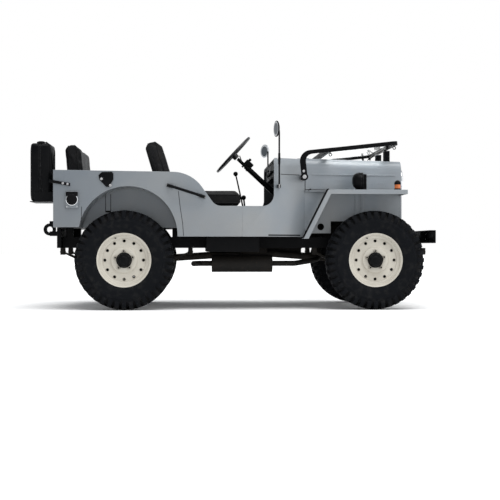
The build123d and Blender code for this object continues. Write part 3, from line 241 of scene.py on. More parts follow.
def addRivet(bm, spot, axis, size, finish=0):
    dome = [(0, size), (size * 0.3, size * 0.9), (size * 0.5, size * 0.6), (size * 0.6, 0)]
    addTurned(bm, dome, spot, axis, 10, finish)


# finishes: each one is a node tree with its own mottle, grain, wear, and grime mixed with painted shade in corners

def setInputs(tree, node, inputs):
    for key, value in inputs.items():
        if isinstance(value, bpy.types.NodeSocket):
            tree.links.new(value, node.inputs[key])
        else:
            node.inputs[key].default_value = value


def addNode(tree, kind, inputs=None, **settings):
    node = tree.nodes.new("ShaderNode" + kind)
    for key, value in settings.items():
        setattr(node, key, value)
    setInputs(tree, node, inputs or {})
    return node


def startFinish(name):
    finish = bpy.data.materials.new(name)
    finish.use_nodes = True
    tree = finish.node_tree
    return finish, tree, tree.nodes["Principled BSDF"], addNode(tree, "TexCoord").outputs["Object"]


def noiseOf(tree, coords, scale, detail=4.0, stretch=None):
    if stretch:
        coords = addNode(tree, "Mapping", {"Vector": coords, "Scale": stretch}).outputs["Vector"]
    return addNode(tree, "TexNoise", {"Vector": coords, "Scale": scale, "Detail": detail}).outputs["Fac"]


def rangeOf(tree, value, low, high, toLow=0.0, toHigh=1.0):
    limits = {"Value": value, "From Min": low, "From Max": high, "To Min": toLow, "To Max": toHigh}
    return addNode(tree, "MapRange", limits, clamp=True).outputs["Result"]


def mathOf(tree, operation, first, second):
    return addNode(tree, "Math", {0: first, 1: second}, operation=operation).outputs["Value"]


def timesOf(tree, first, second):
    return mathOf(tree, "MULTIPLY", first, second)


def tintOf(tree, share, first, second):
    node = addNode(tree, "Mix", data_type="RGBA")
    for socket, value in (("Factor_Float", share), ("A_Color", first), ("B_Color", second)):
        target = next(s for s in node.inputs if s.identifier == socket)
        if isinstance(value, bpy.types.NodeSocket):
            tree.links.new(value, target)
        else:
            target.default_value = (*value, 1)
    return next(s for s in node.outputs if s.identifier == "Result_Color")


def bumpOf(tree, shader, height, strength, distance):
    bump = addNode(tree, "Bump", {"Height": height, "Strength": strength, "Distance": distance})
    tree.links.new(bump.outputs["Normal"], shader.inputs["Normal"])


def layeredFinish(name, look):
    # base tone with mottle, then specks, dust on the low parts, painted shade toward the rear and inside the cowl,
    # grime and painted shade in corners, and wear along edges
    finish, tree, shader, coords = startFinish(name)
    spot = addNode(tree, "SeparateXYZ", {"Vector": coords}).outputs
    normal = addNode(tree, "NewGeometry").outputs["Normal"]
    broad = noiseOf(tree, coords, look["patch"], 5.0)
    fine = noiseOf(tree, coords, look["grain"], 3.0)
    colour = tintOf(tree, rangeOf(tree, broad, 0.32, 0.68), look["base"], look["tone"])
    specks = rangeOf(tree, noiseOf(tree, coords, look["grain"] * 0.4, 6.0), 0.6, 0.72)
    colour = tintOf(tree, timesOf(tree, specks, look["speckShare"]), colour, look["speck"])
    if "dustShare" in look:
        low = rangeOf(tree, spot["Z"], look["dustTop"], look["dustTop"] - 0.45)
        patchy = rangeOf(tree, noiseOf(tree, coords, 9.0, 6.0), 0.35, 0.75, 0.25, 1.0)
        dust = timesOf(tree, timesOf(tree, low, patchy), look["dustShare"])
        colour = tintOf(tree, dust, colour, look["dust"])
    if "rearShade" in look:
        # painted shade: the colour darkens toward the rear
        film = timesOf(tree, rangeOf(tree, spot["X"], 0.1, -1.45), look["rearShade"])
        colour = tintOf(tree, film, colour, tuple(c * 0.42 for c in look["base"]))
    if "cabinShade" in look:
        # painted shade on the inner faces of the cowl, between two places along the car
        facing = addNode(tree, "SeparateXYZ", {"Vector": normal}).outputs
        inward = rangeOf(tree, timesOf(tree, spot["Y"], facing["Y"]), -0.1, -0.25)
        begun, ended, fade = look["cabinShade"]
        begin = rangeOf(tree, spot["X"], begun, begun + fade)
        inside = timesOf(tree, begin, rangeOf(tree, spot["X"], ended + fade, ended))
        colour = tintOf(tree, timesOf(tree, inward, inside), colour, look["cabinShadeTone"])
    if "grimeShadeShare" in look:
        # grime and painted shade: darker where ambient occlusion finds corners and recesses
        shut = addNode(tree, "AmbientOcclusion", {"Distance": look["grimeShadeReach"]}, samples=6)
        grimeAndShade = timesOf(tree, rangeOf(tree, shut.outputs["AO"], 0.75, 0.25), look["grimeShadeShare"])
        colour = tintOf(tree, grimeAndShade, colour, look["grimeAndShade"])
    if "wearShare" in look:
        turned = addNode(tree, "Bevel", {"Radius": look["wearWidth"]}, samples=4).outputs["Normal"]
        lean = addNode(tree, "VectorMath", {0: turned, 1: normal}, operation="DOT_PRODUCT").outputs["Value"]
        chips = rangeOf(tree, noiseOf(tree, coords, 60.0, 6.0), 0.42, 0.6)
        wear = timesOf(tree, timesOf(tree, rangeOf(tree, lean, 0.985, 0.9), chips), look["wearShare"])
        colour = tintOf(tree, wear, colour, look["wear"])
    setInputs(tree, shader, {"Base Color": colour, "Roughness": rangeOf(tree, broad, 0.3, 0.7, *look["rough"]),
                             "Metallic": look.get("metal", 0.0), "Coat Weight": look.get("coat", 0.0),
                             "Coat Roughness": 0.25, "Specular IOR Level": look.get("shine", 0.5)})
    bumpOf(tree, shader, fine, look["bump"], 0.0012)
    return finish


# the body colour carries painted shade toward the rear and on the cowl's inner faces; each look's corner darkening is
# grime with painted shade
bodyLook = {"base": (0.215, 0.245, 0.275), "tone": (0.275, 0.29, 0.3), "patch": 2.2, "grain": 240.0,
            "rearShade": 0.55, "cabinShade": (rearX(1190), rearX(1462), 0.004), "cabinShadeTone": (0.006, 0.007, 0.009),
            "speck": (0.17, 0.18, 0.19), "speckShare": 0.18, "dust": (0.21, 0.19, 0.165), "dustTop": 0.95,
            "dustShare": 0.3, "grimeAndShade": (0.05, 0.05, 0.05), "grimeShadeReach": 0.045, "grimeShadeShare": 0.75,
            "wear": (0.42, 0.43, 0.43), "wearWidth": 0.004, "wearShare": 0.55, "rough": (0.3, 0.44),
            "bump": 0.06, "coat": 0.3}
creamLook = {"base": (0.6, 0.57, 0.5), "tone": (0.52, 0.49, 0.425), "patch": 7.0, "grain": 260.0,
             "speck": (0.3, 0.24, 0.17), "speckShare": 0.25, "dust": (0.42, 0.36, 0.28), "dustTop": 0.5,
             "dustShare": 0.2, "grimeAndShade": (0.1, 0.08, 0.06), "grimeShadeReach": 0.055, "grimeShadeShare": 0.9,
             "wear": (0.35, 0.3, 0.24), "wearWidth": 0.003, "wearShare": 0.4, "rough": (0.4, 0.6), "bump": 0.08}
blackLook = {"base": (0.0018, 0.0021, 0.0028), "tone": (0.004, 0.0042, 0.0048), "patch": 5.0, "grain": 180.0,
             "speck": (0.02, 0.019, 0.018), "speckShare": 0.18, "dust": (0.024, 0.021, 0.018), "dustTop": 0.75,
             "dustShare": 0.12, "shine": 0.07, "grimeAndShade": (0.006, 0.006, 0.006), "grimeShadeReach": 0.04, "grimeShadeShare": 0.5,
             "wear": (0.09, 0.09, 0.09), "wearWidth": 0.003, "wearShare": 0.5, "rough": (0.32, 0.55), "bump": 0.12}
ironLook = {"base": (0.0045, 0.0043, 0.0042), "tone": (0.009, 0.008, 0.007), "patch": 6.0, "grain": 120.0,
            "speck": (0.08, 0.055, 0.035), "speckShare": 0.35, "dust": (0.07, 0.06, 0.05), "dustTop": 0.8,
            "dustShare": 0.45, "grimeAndShade": (0.008, 0.008, 0.008), "grimeShadeReach": 0.05, "grimeShadeShare": 0.5,
            "wear": (0.1, 0.095, 0.09), "wearWidth": 0.003, "wearShare": 0.35, "rough": (0.55, 0.8), "bump": 0.35,
            "metal": 0.1, "shine": 0.15}
pipeLook = {"base": (0.004, 0.004, 0.004), "tone": (0.009, 0.008, 0.007), "patch": 8.0, "grain": 150.0,
            "speck": (0.05, 0.032, 0.02), "speckShare": 0.3, "dust": (0.035, 0.029, 0.023), "dustTop": 0.7,
            "dustShare": 0.25, "grimeAndShade": (0.01, 0.01, 0.01), "grimeShadeReach": 0.04, "grimeShadeShare": 0.4,
            "wear": (0.14, 0.12, 0.1), "wearWidth": 0.003, "wearShare": 0.3, "rough": (0.45, 0.7), "bump": 0.25,
            "metal": 0.1, "shine": 0.15}
zincLook = {"base": (0.5, 0.5, 0.5), "tone": (0.4, 0.4, 0.41), "patch": 30.0, "grain": 300.0,
            "speck": (0.22, 0.19, 0.16), "speckShare": 0.3, "grimeAndShade": (0.08, 0.07, 0.06), "grimeShadeReach": 0.01,
            "grimeShadeShare": 0.6, "rough": (0.3, 0.5), "bump": 0.08, "metal": 0.85}
chromeLook = {"base": (0.72, 0.73, 0.75), "tone": (0.65, 0.66, 0.68), "patch": 20.0, "grain": 300.0,
              "speck": (0.4, 0.4, 0.4), "speckShare": 0.15, "grimeAndShade": (0.15, 0.14, 0.13), "grimeShadeReach": 0.01,
              "grimeShadeShare": 0.4, "rough": (0.07, 0.16), "bump": 0.02, "metal": 1.0}
rimLook = {"base": (0.01, 0.01, 0.011), "tone": (0.016, 0.016, 0.017), "patch": 14.0, "grain": 220.0,
           "speck": (0.03, 0.03, 0.03), "speckShare": 0.2, "wear": (0.04, 0.04, 0.04), "wearWidth": 0.002,
           "wearShare": 0.4, "rough": (0.25, 0.42), "bump": 0.06}

bodyPaint = layeredFinish("lightGreyPaint", bodyLook)
creamPaint = layeredFinish("creamWheelPaint", creamLook)
blackPaint = layeredFinish("blackEnamel", blackLook)
castIron = layeredFinish("darkCastings", ironLook)
pipeSteel = layeredFinish("exhaustPipeSteel", pipeLook)
zincBolt = layeredFinish("zincBolts", zincLook)
chrome = layeredFinish("polishedChrome", chromeLook)
mirrorGlass = layeredFinish("mirrorGlass", {**chromeLook, "base": (0.1, 0.115, 0.13),
                                            "tone": (0.14, 0.155, 0.17)})
rimPlastic = layeredFinish("steeringRimPlastic", rimLook)

rubberLook = {"base": (0.0022, 0.0029, 0.0043), "tone": (0.004, 0.0047, 0.0063), "dust": (0.034, 0.032, 0.03),
              "rough": (0.62, 0.85), "bump": 0.25}
vinylLook = {"base": (0.0035, 0.0038, 0.0046), "tone": (0.0065, 0.0066, 0.0072), "worn": (0.026, 0.021, 0.017),
             "rough": (0.38, 0.55), "grainScale": 420.0, "creaseScale": 26.0}


def rubberFinish(name):
    finish, tree, shader, coords = startFinish(name)
    look = rubberLook
    broad = noiseOf(tree, coords, 9.0, 6.0)
    fine = noiseOf(tree, coords, 170.0, 4.0)
    colour = tintOf(tree, rangeOf(tree, broad, 0.3, 0.7), look["base"], look["tone"])
    # dust packed into the corners, then a thin film of it over all
    shut = addNode(tree, "AmbientOcclusion", {"Distance": 0.03}, samples=6).outputs["AO"]
    packed = timesOf(tree, rangeOf(tree, shut, 0.85, 0.3), rangeOf(tree, fine, 0.35, 0.65, 0.15, 0.4))
    film = timesOf(tree, rangeOf(tree, noiseOf(tree, coords, 22.0, 7.0), 0.5, 0.75), 0.28)
    for share in (packed, film):
        colour = tintOf(tree, share, colour, look["dust"])
    setInputs(tree, shader, {"Base Color": colour, "Roughness": rangeOf(tree, broad, 0.3, 0.7, *look["rough"]),
                             "Specular IOR Level": 0.1})
    bumpOf(tree, shader, fine, look["bump"], 0.001)
    return finish


def vinylFinish(name):
    # leathercloth: pebble grain from cells, soft creases and a worn sheen on the crown
    finish, tree, shader, coords = startFinish(name)
    look = vinylLook
    broad = noiseOf(tree, coords, 6.0, 4.0)
    pebble = addNode(tree, "TexVoronoi", {"Vector": coords, "Scale": look["grainScale"]}).outputs["Distance"]
    crease = noiseOf(tree, coords, look["creaseScale"], 2.0, (1.0, 1.0, 2.2))
    colour = tintOf(tree, rangeOf(tree, broad, 0.3, 0.7), look["base"], look["tone"])
    worn = timesOf(tree, rangeOf(tree, noiseOf(tree, coords, 14.0, 6.0), 0.55, 0.8), 0.35)
    setInputs(tree, shader, {"Base Color": tintOf(tree, worn, colour, look["worn"]),
                             "Roughness": rangeOf(tree, broad, 0.3, 0.7, *look["rough"]),
                             "Sheen Weight": 0.04, "Specular IOR Level": 0.15})
    bumpOf(tree, shader, mathOf(tree, "ADD", crease, pebble), 0.3, 0.0025)
    return finish


def lensFinish(name, tint, rough=0.12):
    # a ribbed moulded lens
    finish, tree, shader, coords = startFinish(name)
    ribs = addNode(tree, "TexWave", {"Vector": coords, "Scale": 60.0, "Distortion": 0.4}).outputs["Fac"]
    film = noiseOf(tree, coords, 40.0, 5.0)
    darker = tuple(c * 0.72 for c in tint)
    setInputs(tree, shader, {"Base Color": tintOf(tree, rangeOf(tree, film, 0.35, 0.7), tint, darker),
                             "Roughness": rangeOf(tree, film, 0.3, 0.7, rough, rough + 0.15),
                             "Coat Weight": 0.8})
    bumpOf(tree, shader, ribs, 0.25, 0.001)
    return finish


def paneFinish(name):
    finish, tree, shader, coords = startFinish(name)
    film = noiseOf(tree, coords, 12.0, 6.0)
    colour = tintOf(tree, rangeOf(tree, film, 0.4, 0.7), (0.97, 0.985, 0.98), (0.94, 0.96, 0.955))
    setInputs(tree, shader, {"Base Color": colour, "Roughness": rangeOf(tree, film, 0.4, 0.75, 0.02, 0.1),
                             "Transmission Weight": 1.0, "IOR": 1.06})
    return finish


tyreRubber = rubberFinish("tyreRubber")
seatVinyl = vinylFinish("seatLeathercloth")
amberLens = lensFinish("amberLens", (0.75, 0.17, 0.02))
clearLens = lensFinish("headlampLens", (0.62, 0.64, 0.66), 0.08)
windowPane = paneFinish("windscreenPane")
print("finishes made")


# CAD nodes that keep their shape get a finish, and their hard edges are rounded by modifiers

finishNodes = [
    (bodyPaint, "body_side_left body_side_right rear_panel cowl bonnet fender_left fender_right grille wheelhouses"),
    (blackPaint, "floor dashboard frame_rail_left frame_rail_right cross_members front_bumper pintle_hook radiator "
                 "windscreen_frame windscreen_brackets steering_column seat_frames driver_controls can_rack "
                 "bonnet_latches mirrors fuel_can side_fittings side_lamps fender_lamps"),
    (castIron, "front_axle rear_axle leaf_springs knuckle_left knuckle_right tie_rod powertrain propeller_shafts"),
    (pipeSteel, "exhaust"), (windowPane, "windscreen_glass"), (chrome, "headlamps"), (rimPlastic, "steering_wheel"),
    (seatVinyl, "front_seat_cushions front_seat_backs rear_seat_cushion rear_seat_back"),
    (tyreRubber, "tyre_front_left tyre_front_right tyre_rear_left tyre_rear_right"),
    (creamPaint, "wheel_front_left wheel_front_right wheel_rear_left wheel_rear_right"),
]
nodeFinish = {name: finish for finish, names in finishNodes for name in names.split()}

edgeRound = {"usual": 0.0025, "windscreen_glass": 0.0, "bonnet": 0.003, "fuel_can": 0.004, "powertrain": 0.012,
             "pintle_hook": 0.005, "front_bumper": 0.005, "radiator": 0.006, "exhaust": 0.002}
for name, node in nodes.items():
    mesh = node.data
    mesh.materials.clear()
    mesh.materials.append(nodeFinish[name])
    if "custom_normal" in mesh.attributes:
        mesh.attributes.remove(mesh.attributes["custom_normal"])
    mesh.shade_smooth()
    if name == "windscreen_glass":
        # flat clear glass, which lets the light through to the bonnet
        mesh.shade_flat()
        node.visible_shadow = False
    modify(node, "weld", "WELD", merge_threshold=0.00002)
    modify(node, "flatten", "DECIMATE", decimate_type="DISSOLVE", angle_limit=radians(0.6))
    width = edgeRound.get(name, edgeRound["usual"])
    if width:
        modify(node, "edges", "BEVEL", width=width, segments=2, limit_method="ANGLE", angle_limit=radians(35),
               harden_normals=True, use_clamp_overlap=True)
print("CAD nodes dressed")


# tyres: a round carcass with bar lugs that wrap the shoulders, both halves half a pitch apart

tyreLook = {"lugs": 40, "crownShare": 0.27, "rootShare": 0.33, "axleZ": 0.40226, "track": 0.613,
            "axles": {"front": 1.1485, "rear": -0.8835}}
carcass = fromMm((-78, 205.5), (-88.5, 222.5), (-90.5, 229), (-91.5, 233), (-96, 245), (-100.5, 264), (-103, 288),
                 (-102.5, 308), (-103, 310), (-103.2, 313.5), (-101.2, 315.5), (-99, 327), (-94.5, 339), (-80, 356),
                 (-55, 374.5), (-25, 383.5), (0, 385.5))
carcassRing = carcass + [(-y, r) for y, r in reversed(carcass[:-1])] + fromMm((60, 203.5), (-60, 203.5))
lugTip = fromMm((-10, 401.8), (20, 401.7), (48, 400), (74, 396.8), (90, 392), (98.5, 384), (102.5, 372), (103.8, 358),
                (103.4, 345))
lugRoot = fromMm((-10, 380), (20, 379), (48, 372), (74, 354), (84, 344), (88, 340), (90, 337), (92, 334), (94, 331))
lugToe = {True: ((0.0985, 0.33), (0.096, 0.327)), False: ((0.1, 0.338), (0.095, 0.332))}  # long and short bars


def addLug(bm, turn, half, long):
    # one bar of the tread, lofted along the half section
    pitch = 2 * pi / tyreLook["lugs"]
    stations = list(zip(lugTip, lugRoot)) + [lugToe[long]]
    rows = []
    for k, ((tipY, tipR), (rootY, rootR)) in enumerate(stations):
        crown = tyreLook["crownShare"] * pitch * (1 + 0.1 * k / len(stations))
        foot = tyreLook["rootShare"] * pitch
        edge = 0.0022 / tipR
        inY = tipY + (rootY - tipY) * 0.16
        inR = tipR + (rootR - tipR) * 0.16
        row = []
        for angle, y, r in ((-foot, rootY, rootR), (-crown - edge * 0.2, inY, inR), (-crown + edge, tipY, tipR),
                            (crown - edge, tipY, tipR), (crown + edge * 0.2, inY, inR), (foot, rootY, rootR)):
            row.append(bm.verts.new((r * sin(turn + angle), half * y, r * cos(turn + angle))))
        rows.append(row)
    for near, far in zip(rows, rows[1:]):
        for a in range(5):
            bm.faces.new((near[a], near[a + 1], far[a + 1], far[a]))
    bm.faces.new(rows[0])
    bm.faces.new(list(reversed(rows[-1])))


def makeTyreMesh():
    bm = bmesh.new()
    addTurned(bm, carcassRing, (0, 0, 0), acrossY, 96, closed=True)
    for k in range(tyreLook["lugs"]):
        for half, shift in ((1, 0.0), (-1, 0.5)):
            addLug(bm, (k + shift) * 2 * pi / tyreLook["lugs"], half, k % 2 == 0)
    return bm


# steel wheels: rolled rim, stepped dish with round vents, hub ring with nuts, black hub cap and brake drum

wheelLook = {"vents": 12, "ventSteps": 6, "ventCircle": 0.155, "ventRadius": 0.0125, "discFace": 0.045,
             "discBack": 0.031, "discInner": 0.13, "discOuter": 0.172, "nuts": (5, 0.074, 0.0615, 0.3),
             "capBolts": (6, 0.0585, 0.0668), "valve": (1, 0.188, 0.058, 1.2)}
rimFront = fromMm((80, 203), (80.3, 219.5), (82.2, 220.9), (84.8, 220.9), (86.2, 219.2), (85.8, 215), (83.5, 210.8),
                  (77, 206.2), (68, 201.5), (61, 196.8), (58.3, 191.5), (57.8, 185), (55.5, 179.5), (50.5, 175.2),
                  (46.2, 173.2), (45, 172))
rimBack = fromMm((31, 172), (31, 188), (25, 192.5), (-70, 193), (-78, 199), (-83.5, 209), (-86, 216), (-86.2, 219.5),
                 (-84.5, 220.9), (-82, 220.9), (-80.3, 219.5), (-80, 203))
hubRing = fromMm((45, 130), (45.6, 120), (48, 111.5), (53, 106), (58.5, 103.4), (61.2, 101.6), (62, 98.5), (62, 60),
                 (61.6, 40))
hubCap = fromMm((61.5, 63), (65, 62.8), (66.8, 60), (67.2, 54.5), (88, 52.5), (93, 50), (95.2, 45.5), (95.6, 30),
                (97.5, 28), (99.8, 24), (99.9, 0))
drumShell = fromMm((-39, 27), (-39, 136), (-36, 140), (-30, 140), (-28, 137), (10, 137), (12, 140), (30, 140),
                   (30.8, 130), (31, 30))
rimWell = fromMm((-80, 203), (80, 203))
hubBack = fromMm((31, 130), (31, 30))
wheelRings = [(rimFront, 72, 0), (rimBack, 72, 0), (rimWell, 72, 0), (hubRing, 72, 0), (hubBack, 72, 0),
              (hubCap, 48, 1), (drumShell, 64, 2)]
nutWasher = fromMm((0, 15.5), (3.5, 15), (4.5, 12.5))
nutHead = fromMm((3, 11.5), (16, 11.5), (18.5, 9.5), (18.5, 7))
nutStud = fromMm((16, 6.6), (24, 6.6), (25.5, 5), (25.5, 0))
valveStem = fromMm((-4, 4.5), (18, 4), (19, 3.4), (26, 3.4), (27, 0))


def addVentedDisc(bm, y):
    # flat ring between two radii with round vents: each sector is laced from its edge to its vent
    part = bmesh.new()
    look = wheelLook
    inner, outer = look["discInner"], look["discOuter"]
    step = 2 * pi / look["vents"]
    count = look["ventSteps"]
    for v in range(look["vents"]):
        middle = v * step
        start, end = middle - step / 2, middle + step / 2
        corners = [(outer, start), (outer, end), (inner, end), (inner, start)]
        centre = Vector((look["ventCircle"] * cos(middle), look["ventCircle"] * sin(middle)))
        outerLoop, ventLoop = [], []
        for (radius, angle), (toRadius, toAngle) in zip(corners, corners[1:] + corners[:1]):
            for k in range(count):
                reach = radius + (toRadius - radius) * k / count
                turn = angle + (toAngle - angle) * k / count
                point = Vector((reach * cos(turn), reach * sin(turn)))
                edge = centre + (point - centre).normalized() * look["ventRadius"]
                outerLoop.append(part.verts.new((point.x, y, point.y)))
                ventLoop.append(part.verts.new((edge.x, y, edge.y)))
        total = len(outerLoop)
        for k in range(total):
            n = (k + 1) % total
            part.faces.new((outerLoop[k], outerLoop[n], ventLoop[n], ventLoop[k]))
    bmesh.ops.remove_doubles(part, verts=part.verts, dist=0.00002)
    mergeIn(bm, part)


def wheelSpots(count, radius, y, phase=0.0):
    # spots spread evenly on a circle round the axle, at a place across it and from a turn
    turns = [2 * pi * k / count + phase for k in range(count)]
    return [Vector((radius * cos(t), y, radius * sin(t))) for t in turns]


def makeWheelMesh():
    look = wheelLook
    bm = bmesh.new()
    for profile, steps, finish in wheelRings:
        addTurned(bm, profile, (0, 0, 0), acrossY, steps, finish)
    face, back, vent = look["discFace"], look["discBack"], look["ventRadius"]
    for y in (face, back):
        addVentedDisc(bm, y)
    lip = [(back, vent), (face, vent), (face + 0.0012, vent + 0.0006), (face + 0.0012, vent + 0.0028),
           (face, vent + 0.0042)]
    for spot in wheelSpots(look["vents"], look["ventCircle"], 0):
        addTurned(bm, lip, spot, acrossY, 20)
    for spot in wheelSpots(*look["nuts"]):
        for profile, steps, finish in ((nutWasher, 20, 0), (nutHead, 6, 0), (nutStud, 12, 1)):
            addTurned(bm, profile, spot, acrossY, steps, finish)
    for spot in wheelSpots(*look["capBolts"]):
        addBolt(bm, spot, acrossY, 0.0048, 1)
    for spot in wheelSpots(*look["valve"]):
        addTurned(bm, valveStem, spot, acrossY, 12, 1)
    return bm


def setWheels():
    for axle, axleX in tyreLook["axles"].items():
        for side, sign in sides.items():
            seat = Matrix.Translation((axleX, sign * tyreLook["track"], tyreLook["axleZ"]))
            seat = seat @ Matrix.Rotation(0 if sign > 0 else pi, 4, "Z")
            label = axle.capitalize() + side.capitalize()
            body = f"wheel_{axle}_{side}"
            for kind, build, finishes, slotName in (
                ("tyre", makeTyreMesh, [tyreRubber], "tyre"),
                ("wheel", makeWheelMesh, [creamPaint, blackPaint, castIron], "wheel_paint"),
            ):
                bm = build()
                bmesh.ops.transform(bm, matrix=seat, verts=bm.verts)
                makePiece(bm, kind + label, finishes, (f"{kind}_{axle}_{side}",), body, 32)


setWheels()
print("tyres and wheels made")


# seats: each pad is blown up from its CAD solid by a short cloth run, then piped along its seams

seatLook = {"voxel": 0.01, "shrink": 0.01, "reach": 0.022, "pressure": 4.0, "frames": 20, "fill": 0.8,
            "pipe": 0.0042, "pipeShares": (-0.3, 0.32), "pipeSteps": 24}
padTable = [
    # piece name, CAD node, centre (X, Y, Z), size (length, width, thickness), lean in degrees, upright
    ("frontCushionRight", "front_seat_cushions", (717.5, -370, 899.5), (495, 470, 115), 0, False),
    ("frontCushionLeft", "front_seat_cushions", (717.5, 370, 899.5), (495, 470, 115), 0, False),
    ("frontBackRight", "front_seat_backs", (270, -370, 1175), (420, 470, 124), 16.5, True),
    ("frontBackLeft", "front_seat_backs", (270, 370, 1175), (420, 470, 124), 16.5, True),
    ("benchCushion", "rear_seat_cushion", (-130, 0, 913.5), (400, 860, 103), 0, False),
    ("benchBack", "rear_seat_back", (-432, 0, 1180), (385, 860, 118), 5, True),
]


def padAxes(lean, upright):
    # columns: along the pad, across it, and out of its sat-on face
    tilt = radians(lean)
    if upright:
        along, out = Vector((-sin(tilt), 0, cos(tilt))), Vector((cos(tilt), 0, sin(tilt)))
    else:
        along, out = Vector((1, 0, 0)), Vector((0, 0, 1))
    return along, Vector((0, 1, 0)), out


def startPad(nodeName, centre, axes, size):
    # the pad's own solid, drawn in a little and remeshed
    bm = bmesh.new()
    bm.from_mesh(nodes[nodeName].data)
    bm.transform(nodes[nodeName].matrix_world)
    far = [v for v in bm.verts if abs(v.co.y - centre.y) > size[1] / 2 + 0.01]
    bmesh.ops.delete(bm, geom=far, context="VERTS")
    for vert in bm.verts:
        offset = vert.co - centre
        moved = Vector((0, 0, 0))
        for axis, length in zip(axes, size):
            moved += axis * offset.dot(axis) * (1 - 2 * seatLook["shrink"] / length)
        vert.co = centre + moved
    pad = addObject(bm, "padStart")
    modify(pad, "remesh", "REMESH", mode="VOXEL", voxel_size=seatLook["voxel"])
    settle(pad)
    return pad


def settle(piece):
    # applies what the modifiers make of the piece
    made = bpy.data.meshes.new_from_object(piece.evaluated_get(bpy.context.evaluated_depsgraph_get()))
    piece.modifiers.clear()
    piece.data = made


def blowUp(pad):
    cloth = modify(pad, "cloth", "CLOTH")
    cloth.settings.quality = 4
    cloth.settings.use_pressure = True
    cloth.settings.uniform_pressure_force = seatLook["pressure"]
    cloth.settings.effector_weights.gravity = 0
    cloth.point_cache.frame_start = 1
    cloth.point_cache.frame_end = seatLook["frames"]
    start = [v.co.copy() for v in pad.data.vertices]
    for frameNumber in range(1, seatLook["frames"] + 1):
        scene.frame_set(frameNumber)
    settle(pad)
    for vert, old in zip(pad.data.vertices, start):
        way = vert.co - old
        if way.length > seatLook["reach"]:
            vert.co = old + way.normalized() * seatLook["reach"]
    scene.frame_set(1)


def makePad(name, nodeName, spot, sizeMm, lean, upright):
    centre, size = place(*spot), [s / 1000 for s in sizeMm]
    axes = padAxes(lean, upright)
    pad = startPad(nodeName, centre, axes, size)
    blowUp(pad)
    bm = bmesh.new()
    bm.from_mesh(pad.data)
    for vert in bm.verts:
        # the back face lies flat on its pan or posts
        depth = (vert.co - centre).dot(axes[2]) + size[2] / 2
        if depth < 0:
            vert.co -= axes[2] * depth
    bmesh.ops.smooth_vert(bm, verts=bm.verts, factor=0.5, use_axis_x=True, use_axis_y=True, use_axis_z=True)
    bpy.data.objects.remove(pad)
    surface = BVHTree.FromBMesh(bm)
    steps = seatLook["pipeSteps"]
    for share in seatLook["pipeShares"]:
        # piping where the top and the bottom cover meet the border
        level = centre + axes[2] * share * size[2]
        path = [level + axes[0] * a * size[0] / 2 + axes[1] * b * size[1] / 2
                for a, b in ((-1, -1), (1, -1), (1, 1), (-1, 1))]
        loop = []
        for first, second in zip(path, path[1:] + path[:1]):
            loop += [first.lerp(second, k / steps) for k in range(steps)]
        addBar(bm, [surface.find_nearest(p)[0] for p in loop], seatLook["pipe"], 8, closed=True)
    piece = makePiece(bm, name, [seatVinyl], (nodeName,), sharp=60)
    modify(piece, "smooth", "SUBSURF", levels=1)


for row in padTable:
    makePad(*row)
print("seats made")


# fuel can: two pressed halves welded along a sunk seam, crossed ribs, three handles and a spout

canLook = {"centre": (-672.5, -467, 1111), "half": (0.0825, 0.1725, 0.234), "corner": 0.036, "seam": 0.01,
           "sunk": 0.005, "grip": 0.0065, "gripSpread": 0.034, "gripReach": 0.078, "gripRise": 0.0133, "rib": 0.006}
spoutNeck = fromMm((0, 30), (8, 30), (10, 27), (17, 27), (20, 22), (20, 0))


def roundedOutline(halfY, halfZ, corner, steps=6):
    points = []
    for signY, signZ, start in ((1, 1, 0.0), (-1, 1, 0.5), (-1, -1, 1.0), (1, -1, 1.5)):
        for k in range(steps + 1):
            turn = pi * (start + 0.5 * k / steps)
            points.append((signY * (halfY - corner) + corner * cos(turn),
                           signZ * (halfZ - corner) + corner * sin(turn)))
    return points


